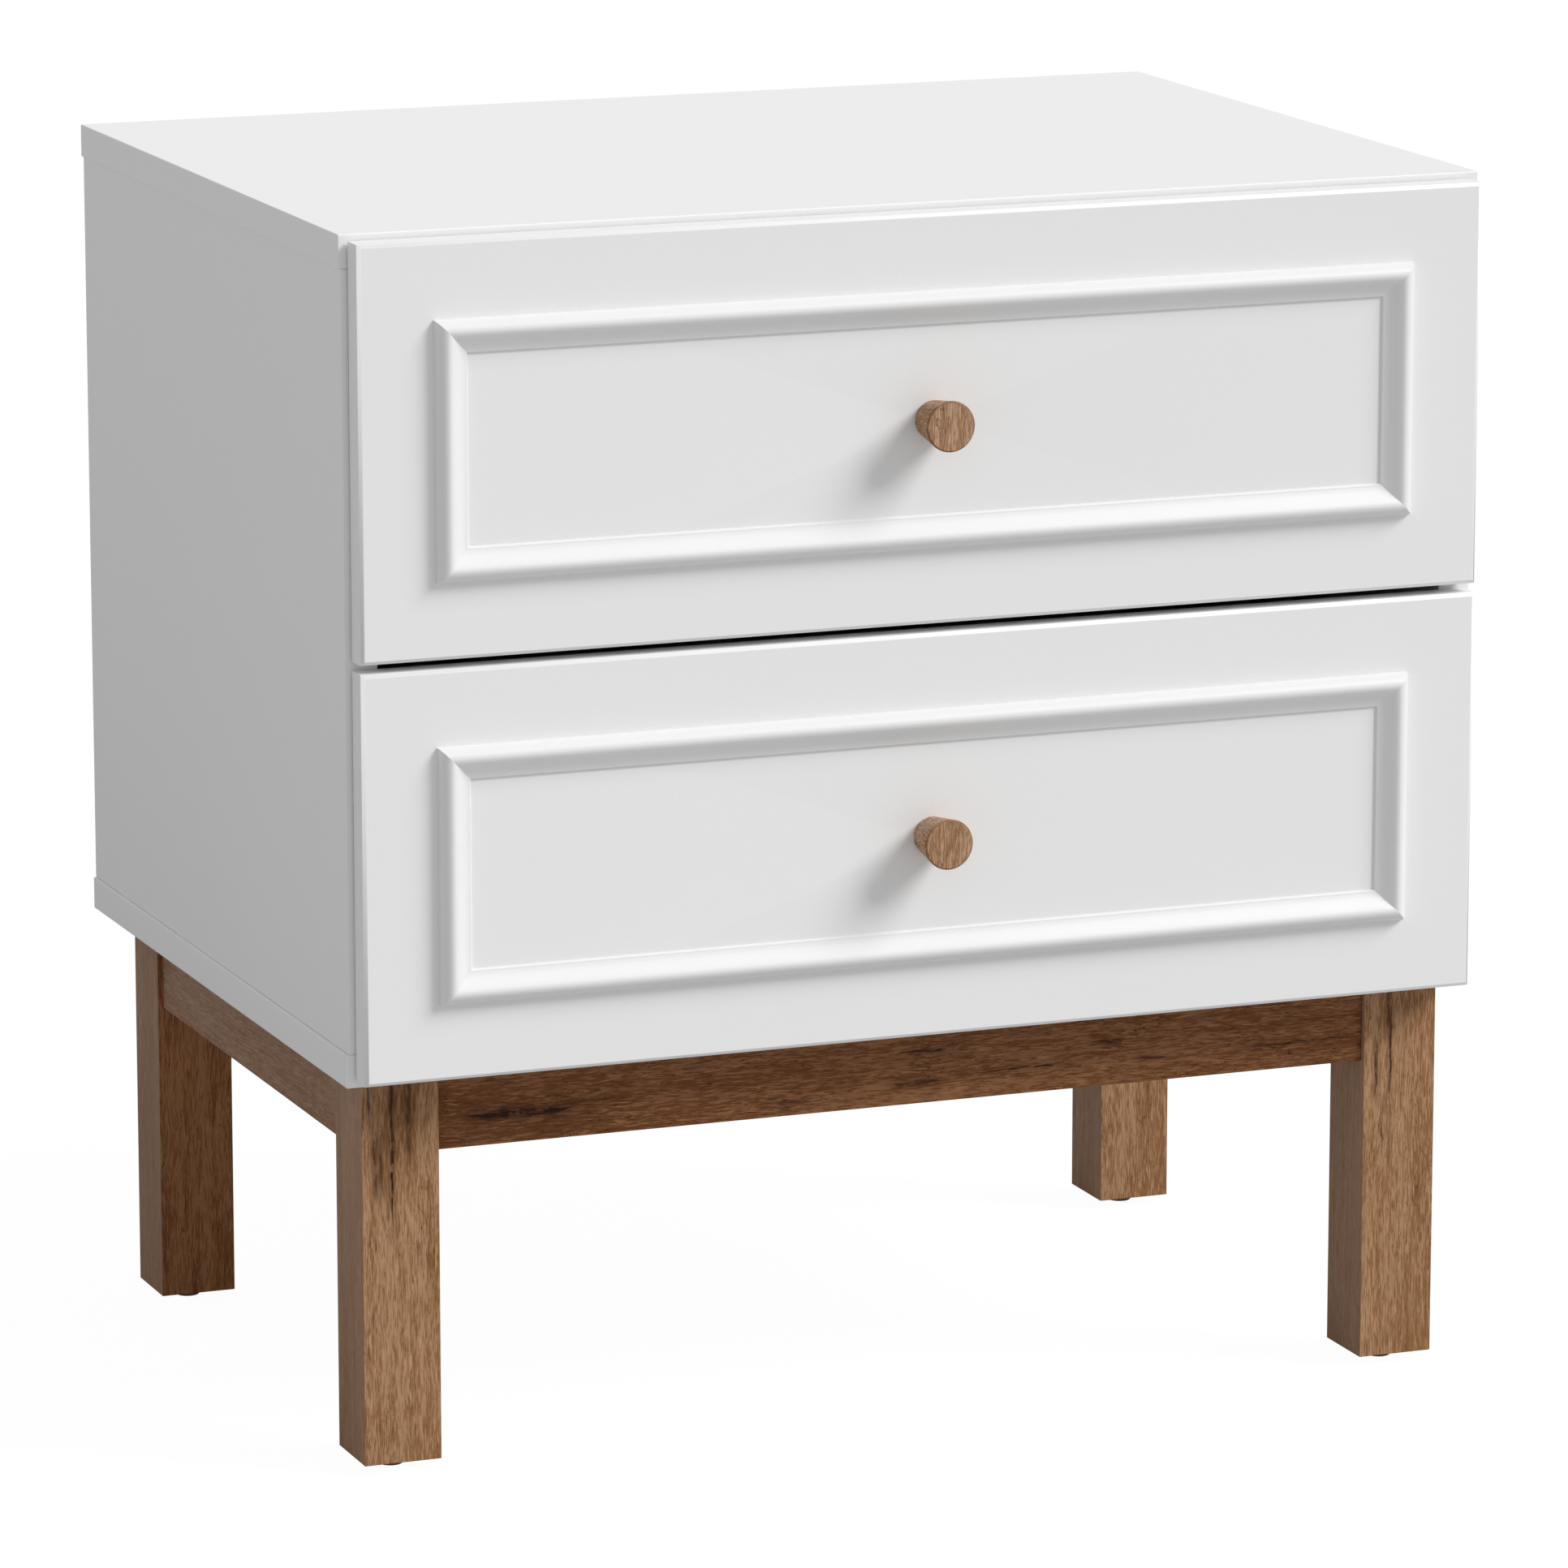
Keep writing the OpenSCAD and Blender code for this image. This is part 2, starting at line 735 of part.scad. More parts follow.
module knob_screw(level) {
    l = front_t + knob_screw_bite;
    color("silver") placed() translate([0, box_y, front_mid_z(level)]) {
        rod("-y", knob_screw_d, l);
        difference() {
            rod("y", knob_head_d, screw_head_h);
            translate([0, screw_head_h, 0]) {
                cube([knob_screw_d, 2, 1], center = true);
                cube([1, 2, knob_screw_d], center = true);
            }
        }
    }
}

module drawer_side(level, side) {
    color("whitesmoke") placed() difference() {
        on_side(side)
            block([box_in, box_out], [box_y, box_y + box_l], [box_z(level), box_z(level) + box_h]);
        at_front_bolts(level) cam_bolt_shank_hole();
        at_front_cams(level) cam_pocket(small_cam_d, small_cam_depth);
        at_back_bolts(level) cam_bolt_thread_hole(small_thread_l);
        bottom_slot(level);
        both_sides() for (y = runner_screw_ys)
            translate([box_out + eps, box_y + y, box_z(level) + drawer_screw_z])
                rod("-x", runner_screw_d + 2 * fit_clear, runner_screw_l + eps);
    }
}

module drawer_back(level) {
    z = box_z(level);
    color("whitesmoke") placed() difference() {
        block([-box_in, box_in], [box_back_y, box_back_y + box_t],
              [z + box_bottom_up + box_bottom_t + groove_clear, z + box_h]);
        at_back_bolts(level) cam_bolt_shank_hole();
        at_back_cams(level) cam_pocket(small_cam_d, small_cam_depth);
    }
}

module drawer_bottom(level) {
    z = box_z(level) + box_bottom_up;
    edge = box_in + bottom_fit;
    color("white") placed()
        block([-edge, edge], [box_y - bottom_fit, box_y + box_l], [z, z + box_bottom_t]);
}

module drawer_cam_bolts(level) {
    color("silver") placed() {
        at_front_bolts(level) cam_bolt(small_thread_l);
        at_back_bolts(level) cam_bolt(small_thread_l);
    }
}

module drawer_cam_locks(level) {
    color("darkgray") placed() {
        at_front_cams(level) cam_lock(small_cam_d, small_cam_depth, box_t / 2);
        at_back_cams(level) cam_lock(small_cam_d, small_cam_depth, box_t / 2);
    }
}

// ---------- nodes ----------

top_panel();
bottom_panel();
side_panel("left");  // left_side_panel
side_panel("right");  // right_side_panel
back_panel();
dowels();
cam_bolts();
cam_locks();
leg("left", "front");  // front_left_leg
leg("right", "front");  // front_right_leg
leg("left", "back");  // back_left_leg
leg("right", "back");  // back_right_leg
cross_rail("front");  // front_rail
cross_rail("back");  // back_rail
side_rail("left");  // left_rail
side_rail("right");  // right_rail
base_screws();
glides();
cabinet_runner_screws();
for (level = [0, 1], side = ["left", "right"]) {
    name = str(LEVELS[level], "_", side);
    cabinet_runner(level, side);
    cabinet_roller(level, side);
    drawer_side(level, side);
    drawer_runner(level, side);
    drawer_roller(level, side);
}
for (level = [0, 1]) {
    name = LEVELS[level];
    drawer_front(level);
    moulding_rails(level);
    moulding_stiles(level);
    drawer_back(level);
    drawer_bottom(level);
    knob(level);
    knob_screw(level);
    drawer_runner_screws(level);
    drawer_cam_bolts(level);
    drawer_cam_locks(level);
}
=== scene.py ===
import json
import math

import bmesh
import bpy
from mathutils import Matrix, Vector

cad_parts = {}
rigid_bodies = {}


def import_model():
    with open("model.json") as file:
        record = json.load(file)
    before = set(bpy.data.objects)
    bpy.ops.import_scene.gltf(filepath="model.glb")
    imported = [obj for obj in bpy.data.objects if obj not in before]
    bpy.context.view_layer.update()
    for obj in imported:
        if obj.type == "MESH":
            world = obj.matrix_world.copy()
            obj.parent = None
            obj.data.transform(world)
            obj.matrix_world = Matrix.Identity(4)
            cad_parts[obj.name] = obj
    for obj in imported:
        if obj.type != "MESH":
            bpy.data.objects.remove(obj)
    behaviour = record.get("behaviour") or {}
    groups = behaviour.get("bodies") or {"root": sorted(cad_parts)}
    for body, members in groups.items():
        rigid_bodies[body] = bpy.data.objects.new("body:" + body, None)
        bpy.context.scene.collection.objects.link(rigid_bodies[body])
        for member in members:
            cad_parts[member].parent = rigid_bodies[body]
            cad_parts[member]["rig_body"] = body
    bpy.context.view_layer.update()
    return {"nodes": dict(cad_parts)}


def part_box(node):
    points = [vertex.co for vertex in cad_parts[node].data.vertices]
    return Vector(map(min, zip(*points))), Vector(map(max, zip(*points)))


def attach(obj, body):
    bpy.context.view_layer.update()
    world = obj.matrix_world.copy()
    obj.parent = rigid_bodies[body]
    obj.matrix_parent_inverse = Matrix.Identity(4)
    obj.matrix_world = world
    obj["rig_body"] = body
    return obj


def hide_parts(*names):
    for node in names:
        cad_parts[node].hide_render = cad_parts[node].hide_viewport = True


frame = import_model()
nodes = frame["nodes"]
bodyOf = {name: item["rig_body"] for name, item in nodes.items()}
mm = 0.001
levels = ("lower", "upper")
sides = ("left", "right")
print("frame loaded with", len(nodes), "nodes")


# small tools for node trees

def addNode(tree, kind, inputs=None, **settings):
    made = tree.nodes.new(kind)
    for key, value in settings.items():
        setattr(made, key, value)
    for key, value in (inputs or {}).items():
        feed(tree, value, made.inputs[key])
    return made


def feed(tree, value, socket):
    if isinstance(value, bpy.types.NodeSocket):
        tree.links.new(value, socket)
    else:
        socket.default_value = value


def calc(tree, operation, first, second=0.5, third=0.0, clamp=False):
    made = addNode(tree, "ShaderNodeMath", operation=operation, use_clamp=clamp)
    for socket, value in zip(made.inputs, (first, second, third)):
        feed(tree, value, socket)
    return made.outputs[0]


def blendColor(tree, factor, first, second):
    made = addNode(tree, "ShaderNodeMix", data_type="RGBA")
    for index, value in ((0, factor), (6, first), (7, second)):
        feed(tree, value, made.inputs[index])
    return made.outputs[2]


def ease(tree, value, low, high, outLow=0.0, outHigh=1.0):
    made = addNode(tree, "ShaderNodeMapRange", {"Value": value, "From Min": low, "From Max": high,
                                                "To Min": outLow, "To Max": outHigh},
                   interpolation_type="SMOOTHSTEP")
    return made.outputs[0]


def scaled(tree, vector, factors):
    made = addNode(tree, "ShaderNodeVectorMath", operation="MULTIPLY")
    feed(tree, vector, made.inputs[0])
    made.inputs[1].default_value = factors
    return made.outputs[0]


def noise(tree, vector, factors, detail=2.0, roughness=0.5):
    made = addNode(tree, "ShaderNodeTexNoise", {"Vector": scaled(tree, vector, factors), "Scale": 1.0,
                                                "Detail": detail, "Roughness": roughness})
    return made.outputs["Fac"]


def newGroup(name, kind, inputs, outputs):
    tree = bpy.data.node_groups.new(name, kind)
    for direction, sockets in (("INPUT", inputs), ("OUTPUT", outputs)):
        for label, socketKind, value in sockets:
            socket = tree.interface.new_socket(label, in_out=direction, socket_type=socketKind)
            if value is not None:
                socket.default_value = value
    return tree, tree.nodes.new("NodeGroupInput"), tree.nodes.new("NodeGroupOutput")


def placeGroup(tree, group, inputs):
    made = tree.nodes.new("ShaderNodeGroup")
    made.node_tree = group
    for key, value in inputs.items():
        feed(tree, value, made.inputs[key])
    return made


# camera: three-quarter view from the left, a little above the top

cameraLook = {
    "azimuth": 21.31,
    "elevation": 12.06,
    "distance": 4.155,
    "target": (0.0026, 0.0, 0.2750),
    "lens": 194.6,
}


def aimed(name, data, place, target):
    item = bpy.data.objects.new(name, data)
    item.location = place
    item.rotation_euler = (Vector(target) - Vector(place)).to_track_quat("-Z", "Y").to_euler()
    bpy.context.scene.collection.objects.link(item)
    return item


def makeCamera(look):
    azimuth, elevation = math.radians(look["azimuth"]), math.radians(look["elevation"])
    forward = Vector((math.sin(azimuth) * math.cos(elevation),
                      math.cos(azimuth) * math.cos(elevation),
                      -math.sin(elevation)))
    data = bpy.data.cameras.new("camera")
    data.lens = look["lens"]
    data.sensor_width = 36
    data.clip_end = 60
    target = Vector(look["target"])
    return aimed("camera", data, target - forward * look["distance"], target)


bpy.context.scene.camera = makeCamera(cameraLook)


# studio: pale floor, a soft key from the right and front, even fill from all round

studio = {
    "floorSize": 60,
    "floorBounce": 0.55,       # how much light the floor sends back to the piece
    "floorShade": 0.05,        # how strongly shadows show on it
    "floorGlow": 0.97,
    "fillStrength": 0.43,
    "glossStrength": 0.80,     # what reflections see
    "backdropStrength": 1.0,
    "keyDirection": (0.66, -0.42, 0.62),
    "keyStrength": 2.6,
    "keySoftness": 26,
}


def cameraSwitch(tree, shown, lighting):
    # what the viewer sees directly against what lights the scene
    rays = tree.nodes.new("ShaderNodeLightPath")
    switch = tree.nodes.new("ShaderNodeMixShader")
    tree.links.new(rays.outputs["Is Camera Ray"], switch.inputs["Fac"])
    tree.links.new(lighting.outputs[0], switch.inputs[1])
    tree.links.new(shown.outputs[0], switch.inputs[2])
    return switch


def makeStudio(look):
    scene = bpy.context.scene
    scene.view_settings.view_transform = "Standard"
    world = bpy.data.worlds.new("studioWorld")
    world.use_nodes = True
    tree = world.node_tree
    rays = tree.nodes.new("ShaderNodeLightPath")
    glossy = calc(tree, "MULTIPLY", rays.outputs["Is Glossy Ray"], look["glossStrength"])
    direct = calc(tree, "MULTIPLY", rays.outputs["Is Camera Ray"], look["backdropStrength"])
    strength = calc(tree, "MAXIMUM", calc(tree, "MAXIMUM", glossy, direct), look["fillStrength"])
    tree.nodes["Background"].inputs["Color"].default_value = (1, 1, 1, 1)
    tree.links.new(strength, tree.nodes["Background"].inputs["Strength"])
    scene.world = world

    key = bpy.data.lights.new("keyLight", "SUN")
    key.energy = look["keyStrength"]
    key.angle = math.radians(look["keySoftness"])
    aimed("keyLight", key, Vector(look["keyDirection"]) * 4, (0, 0, 0))

    half = look["floorSize"] / 2
    mesh = bpy.data.meshes.new("floor")
    mesh.from_pydata([(-half, -half, 0), (half, -half, 0), (half, half, 0), (-half, half, 0)],
                     [], [(0, 1, 2, 3)])
    floor = bpy.data.objects.new("floor", mesh)
    scene.collection.objects.link(floor)
    material = bpy.data.materials.new("floorPaper")
    material.use_nodes = True
    tree = material.node_tree
    shown, lighting = tree.nodes["Principled BSDF"], tree.nodes.new("ShaderNodeBsdfDiffuse")
    shown.inputs["Base Color"].default_value = (*[look["floorShade"]] * 3, 1)
    shown.inputs["Roughness"].default_value = 1.0
    shown.inputs["Specular IOR Level"].default_value = 0.0
    shown.inputs["Emission Color"].default_value = (1, 1, 1, 1)
    shown.inputs["Emission Strength"].default_value = look["floorGlow"]
    lighting.inputs["Color"].default_value = (*[look["floorBounce"]] * 3, 1)
    switch = cameraSwitch(tree, shown, lighting)
    tree.links.new(switch.outputs[0], tree.nodes["Material Output"].inputs["Surface"])
    mesh.materials.append(material)


makeStudio(studio)
print("camera and studio ready")


# shared effects

grain = {
    # noise scales across and along the grain, per metre
    "wander": (45, 45, 22), "band": (28, 28, 5), "streak": (240, 240, 16), "fibre": (1450, 1450, 120),
    "fleck": (1900, 1900, 300), "lines": (300, 300, 32), "linePatches": (90, 90, 30),
    "dashes": (1000, 1000, 95),
    "wanderReach": (0.0035, 0.0035, 0.0),      # how far the fibres stray, in metres
    # what each adds to the tone, the tone that is taken off again, and the tone of plain wood
    "bandShare": 0.26, "streakShare": 0.36, "fibreShare": 0.62, "evenTone": 0.62, "plainTone": 0.45,
    # how dark the streaks, pores and lines are, and how light the dashes
    "streakDepth": 0.40, "poreDepth": 0.40, "lineDepth": 0.55, "lineCount": 34.0,
    "dashStrength": 0.45, "dashLight": 1.35,
}


def makeGrainGroup(look):
    # oak-like grain that runs along z: wandering fibres, growth lines, pores and soft bands
    tree, given, result = newGroup(
        "oakGrain", "ShaderNodeTree",
        [("Vector", "NodeSocketVector", None),
         ("Pale", "NodeSocketColor", (0.5, 0.3, 0.18, 1)),
         ("Middle", "NodeSocketColor", (0.34, 0.18, 0.09, 1)),
         ("Deep", "NodeSocketColor", (0.13, 0.06, 0.03, 1)),
         ("Figure", "NodeSocketFloat", 1.0)],
        [("Color", "NodeSocketColor", None),
         ("Roughness", "NodeSocketFloat", None),
         ("Height", "NodeSocketFloat", None)])
    start = given.outputs["Vector"]
    wander = addNode(tree, "ShaderNodeTexNoise", {"Vector": scaled(tree, start, look["wander"]),
                                                  "Scale": 1.0, "Detail": 2.0})
    shift = addNode(tree, "ShaderNodeVectorMath", operation="MULTIPLY_ADD")
    tree.links.new(wander.outputs["Color"], shift.inputs[0])
    shift.inputs[1].default_value = look["wanderReach"]
    tree.links.new(start, shift.inputs[2])
    along = shift.outputs[0]

    band = noise(tree, along, look["band"], 2.0)
    streak = noise(tree, along, look["streak"], 3.0, 0.6)
    fibre = noise(tree, along, look["fibre"], 3.0, 0.65)
    fleck = noise(tree, along, look["fleck"], 2.0, 0.5)
    figure = given.outputs["Figure"]

    tone = calc(tree, "MULTIPLY", ease(tree, band, 0.30, 0.70), look["bandShare"])
    tone = calc(tree, "MULTIPLY_ADD", ease(tree, streak, 0.32, 0.68), look["streakShare"], tone)
    tone = calc(tree, "MULTIPLY_ADD", ease(tree, fibre, 0.36, 0.64), look["fibreShare"], tone)
    tone = calc(tree, "SUBTRACT", tone, look["evenTone"])
    tone = calc(tree, "MULTIPLY_ADD", tone, figure, look["plainTone"], clamp=True)
    color = blendColor(tree, ease(tree, tone, 0.02, 0.80), given.outputs["Pale"], given.outputs["Middle"])

    # thin winding lines where the slow noise crosses set levels
    level = noise(tree, along, look["lines"], 1.5, 0.4)
    ridge = calc(tree, "ABSOLUTE", calc(tree, "SINE", calc(tree, "MULTIPLY", level, look["lineCount"])))
    line = ease(tree, ridge, 0.05, 0.42, 1.0, 0.0)
    patch = ease(tree, noise(tree, along, look["linePatches"], 2.0), 0.42, 0.62)
    broken = ease(tree, fleck, 0.36, 0.56)
    line = calc(tree, "MULTIPLY", calc(tree, "MULTIPLY", line, patch), broken)
    pore = calc(tree, "MULTIPLY", ease(tree, fleck, 0.56, 0.72), ease(tree, tone, 0.2, 0.8, 0.4, 1.0))
    dark = calc(tree, "MULTIPLY", ease(tree, streak, 0.60, 0.80), look["streakDepth"])
    dark = calc(tree, "MULTIPLY_ADD", pore, look["poreDepth"], dark)
    dark = calc(tree, "MULTIPLY_ADD", line, look["lineDepth"], dark)
    dark = calc(tree, "MULTIPLY", dark, figure, clamp=True)
    color = blendColor(tree, dark, color, given.outputs["Deep"])

    # short pale dashes of open fibre
    dash = ease(tree, noise(tree, along, look["dashes"], 1.0), 0.62, 0.72, 0.0, look["dashStrength"])
    dash = calc(tree, "MULTIPLY", dash, figure)
    lighter = addNode(tree, "ShaderNodeVectorMath", operation="SCALE")
    tree.links.new(given.outputs["Pale"], lighter.inputs[0])
    lighter.inputs["Scale"].default_value = look["dashLight"]
    color = blendColor(tree, dash, color, lighter.outputs[0])
    tree.links.new(color, result.inputs["Color"])
    height = calc(tree, "MULTIPLY_ADD", fibre, -0.7, calc(tree, "MULTIPLY", dark, -0.6))
    tree.links.new(height, result.inputs["Height"])
    tree.links.new(ease(tree, tone, 0.0, 1.0, 0.50, 0.66), result.inputs["Roughness"])
    return tree


split = {
    # noise scales per metre: the path's wobble, ragged sides, gaps and the mottled wood beside it
    "wobble": (60, 60, 75), "ragged": (700, 700, 160), "gaps": (420, 420, 210), "mottle": (700, 700, 110),
    "wobbleReach": 0.004,
    "haloWidth": 0.0012,        # added to the width of the darkened wood, in metres
}


def makeCrackGroup(look):
    # one dark split or knot along z, centred at Centre, wider in its middle; its halo alone also makes a
    # soft patch of painted shade
    tree, given, result = newGroup(
        "grainCrack", "ShaderNodeTree",
        [("Vector", "NodeSocketVector", None),
         ("Centre", "NodeSocketVector", None),
         ("Half Length", "NodeSocketFloat", 0.02),
         ("Half Width", "NodeSocketFloat", 0.001)],
        [("Mask", "NodeSocketFloat", None),
         ("Halo", "NodeSocketFloat", None)])
    offset = addNode(tree, "ShaderNodeVectorMath", operation="SUBTRACT")
    tree.links.new(given.outputs["Vector"], offset.inputs[0])
    tree.links.new(given.outputs["Centre"], offset.inputs[1])
    parts = addNode(tree, "ShaderNodeSeparateXYZ", {0: offset.outputs[0]})
    where = given.outputs["Vector"]
    wobble = calc(tree, "SUBTRACT", noise(tree, where, look["wobble"], 2.0), 0.5)
    across = calc(tree, "MULTIPLY_ADD", wobble, look["wobbleReach"], parts.outputs["X"])
    aside = calc(tree, "ABSOLUTE", across)
    reach = calc(tree, "DIVIDE", calc(tree, "ABSOLUTE", parts.outputs["Z"]), given.outputs["Half Length"])
    taper = ease(tree, reach, 0.2, 1.0, 1.0, 0.0)
    ragged = noise(tree, where, look["ragged"], 2.0)
    width = calc(tree, "MULTIPLY", calc(tree, "MULTIPLY", taper, given.outputs["Half Width"]),
                 ease(tree, ragged, 0.3, 0.7, 0.55, 1.3))
    ratio = calc(tree, "DIVIDE", aside, calc(tree, "MAXIMUM", width, 0.00001))
    ends = ease(tree, taper, 0.0, 0.5)
    gaps = ease(tree, noise(tree, where, look["gaps"], 2.0), 0.34, 0.52)
    mask = calc(tree, "MULTIPLY", calc(tree, "MULTIPLY", ease(tree, ratio, 0.2, 1.0, 1.0, 0.0), ends), gaps)
    tree.links.new(mask, result.inputs["Mask"])
    spread = calc(tree, "DIVIDE", aside,
                  calc(tree, "MULTIPLY_ADD", given.outputs["Half Width"], 2.2, look["haloWidth"]))
    reached = ease(tree, reach, 0.5, 1.25, 1.0, 0.0)
    mottled = ease(tree, noise(tree, where, look["mottle"], 2.0), 0.3, 0.65, 0.4, 1.0)
    halo = calc(tree, "MULTIPLY", ease(tree, spread, 0.0, 1.0, 1.0, 0.0), reached)
    halo = calc(tree, "MULTIPLY", halo, mottled)
    tree.links.new(halo, result.inputs["Halo"])
    return tree


def makeSkinGroup():
    # sprayed or moulded skin: faint cloudy tone, slow roughness change, fine orange peel
    tree, given, result = newGroup(
        "sprayedSkin", "ShaderNodeTree",
        [("Vector", "NodeSocketVector", None),
         ("Tint", "NodeSocketColor", (0.9, 0.9, 0.9, 1)),
         ("Cloud", "NodeSocketFloat", 0.02),
         ("Peel Scale", "NodeSocketFloat", 500.0),
         ("Smooth", "NodeSocketFloat", 0.4)],
        [("Color", "NodeSocketColor", None),
         ("Roughness", "NodeSocketFloat", None),
         ("Height", "NodeSocketFloat", None)])
    cloud = noise(tree, given.outputs["Vector"], (9, 9, 9), 3.0, 0.55)
    shade = calc(tree, "MULTIPLY_ADD", calc(tree, "SUBTRACT", cloud, 0.5), given.outputs["Cloud"], 1.0)
    bright = addNode(tree, "ShaderNodeVectorMath", operation="SCALE")
    tree.links.new(given.outputs["Tint"], bright.inputs[0])
    tree.links.new(shade, bright.inputs["Scale"])
    tree.links.new(bright.outputs[0], result.inputs["Color"])
    peel = addNode(tree, "ShaderNodeTexNoise", {"Vector": given.outputs["Vector"],
                                                "Scale": given.outputs["Peel Scale"], "Detail": 3.0})
    tree.links.new(peel.outputs["Fac"], result.inputs["Height"])
    rub = noise(tree, given.outputs["Vector"], (26, 26, 26), 3.0, 0.6)
    tree.links.new(calc(tree, "MULTIPLY_ADD", calc(tree, "SUBTRACT", rub, 0.5), 0.10,
                        given.outputs["Smooth"]), result.inputs["Roughness"])
    return tree


def makeMetalGroup():
    # plated or cast metal: spangle, fine scratches and dull patches
    tree, given, result = newGroup(
        "platedMetal", "ShaderNodeTree",
        [("Vector", "NodeSocketVector", None),
         ("Tint", "NodeSocketColor", (0.6, 0.6, 0.62, 1)),
         ("Spangle", "NodeSocketFloat", 0.1),
         ("Smooth", "NodeSocketFloat", 0.3)],
        [("Color", "NodeSocketColor", None),
         ("Roughness", "NodeSocketFloat", None),
         ("Height", "NodeSocketFloat", None)])
    cells = addNode(tree, "ShaderNodeTexVoronoi", {"Vector": given.outputs["Vector"], "Scale": 900.0})
    grey = addNode(tree, "ShaderNodeRGBToBW", {"Color": cells.outputs["Color"]})
    shade = calc(tree, "MULTIPLY_ADD", calc(tree, "SUBTRACT", grey.outputs[0], 0.5),
                 given.outputs["Spangle"], 1.0)
    bright = addNode(tree, "ShaderNodeVectorMath", operation="SCALE")
    tree.links.new(given.outputs["Tint"], bright.inputs[0])
    tree.links.new(shade, bright.inputs["Scale"])
    tree.links.new(bright.outputs[0], result.inputs["Color"])
    dull = noise(tree, given.outputs["Vector"], (220, 220, 220), 3.0, 0.6)
    tree.links.new(calc(tree, "MULTIPLY_ADD", calc(tree, "SUBTRACT", dull, 0.5), 0.22,
                        given.outputs["Smooth"]), result.inputs["Roughness"])
    scratch = noise(tree, given.outputs["Vector"], (3500, 260, 260), 2.0, 0.5)
    tree.links.new(scratch, result.inputs["Height"])
    return tree


grainGroup = makeGrainGroup(grain)
crackGroup = makeCrackGroup(split)
skinGroup = makeSkinGroup()
metalGroup = makeMetalGroup()


def startMaterial(name):
    material = bpy.data.materials.new(name)
    material.use_nodes = True
    tree = material.node_tree
    where = addNode(tree, "ShaderNodeTexCoord").outputs["Object"]
    return material, tree, tree.nodes["Principled BSDF"], where


def addBump(tree, shader, height, distance):
    bump = addNode(tree, "ShaderNodeBump", {"Height": height, "Distance": distance, "Strength": 1.0})
    tree.links.new(bump.outputs["Normal"], shader.inputs["Normal"])


# finishes

skinLooks = {
    # tint, cloud, peel scale, bump distance, roughness, coat
    "whiteLacquer": ((0.900, 0.900, 0.900, 1), 0.012, 620, 0.00003, 0.42, 0.06),
    # painted shade: the mouldings take a darker copy of the white lacquer, which dims their lit side
    "mouldingLacquerPaintedShade": ((0.815, 0.815, 0.815, 1), 0.010, 800, 0.00002, 0.42, 0.03),
    "drawerFoil": ((0.85, 0.85, 0.84, 1), 0.015, 1500, 0.00002, 0.45, 0.0),
    "hardboardWhite": ((0.82, 0.82, 0.80, 1), 0.03, 900, 0.00004, 0.55, 0.0),
    "runnerEpoxy": ((0.84, 0.84, 0.82, 1), 0.03, 1600, 0.00004, 0.34, 0.15),
    "rollerNylon": ((0.80, 0.80, 0.77, 1), 0.04, 1100, 0.00002, 0.42, 0.0),
    "glidePlastic": ((0.34, 0.25, 0.18, 1), 0.08, 1800, 0.00003, 0.50, 0.0),
}


def skinMaterial(name):
    tint, cloud, peelScale, depth, smooth, coat = skinLooks[name]
    material, tree, shader, where = startMaterial(name)
    skin = placeGroup(tree, skinGroup, {"Vector": where, "Tint": tint, "Cloud": cloud,
                                        "Peel Scale": peelScale, "Smooth": smooth})
    tree.links.new(skin.outputs["Color"], shader.inputs["Base Color"])
    tree.links.new(skin.outputs["Roughness"], shader.inputs["Roughness"])
    shader.inputs["Coat Weight"].default_value = coat
    shader.inputs["Coat Roughness"].default_value = 0.25
    addBump(tree, shader, skin.outputs["Height"], depth)
    return material


metalLooks = {
    # tint, spangle, roughness
    "zincSteel": ((0.62, 0.63, 0.66, 1), 0.10, 0.30),
    "zincCasting": ((0.46, 0.46, 0.48, 1), 0.16, 0.42),
}


def metalMaterial(name):
    tint, spangle, smooth = metalLooks[name]
    material, tree, shader, where = startMaterial(name)
    metal = placeGroup(tree, metalGroup, {"Vector": where, "Tint": tint, "Spangle": spangle,
                                          "Smooth": smooth})
    tree.links.new(metal.outputs["Color"], shader.inputs["Base Color"])
    tree.links.new(metal.outputs["Roughness"], shader.inputs["Roughness"])
    shader.inputs["Metallic"].default_value = 1.0
    addBump(tree, shader, metal.outputs["Height"], 0.00002)
    return material


def fibreMaterial():
    # raw brown face of hardboard: pressed fibres, a little cloudy
    material, tree, shader, where = startMaterial("hardboardRaw")
    fluff = noise(tree, where, (420, 420, 420), 4.0, 0.7)
    patch = noise(tree, where, (14, 14, 14), 2.0, 0.5)
    color = blendColor(tree, ease(tree, fluff, 0.3, 0.7), (0.30, 0.17, 0.085, 1), (0.42, 0.26, 0.14, 1))
    color = blendColor(tree, ease(tree, patch, 0.3, 0.75, 0.0, 0.2), color, (0.24, 0.13, 0.065, 1))
    tree.links.new(color, shader.inputs["Base Color"])
    shader.inputs["Roughness"].default_value = 0.82
    addBump(tree, shader, fluff, 0.00012)
    return material


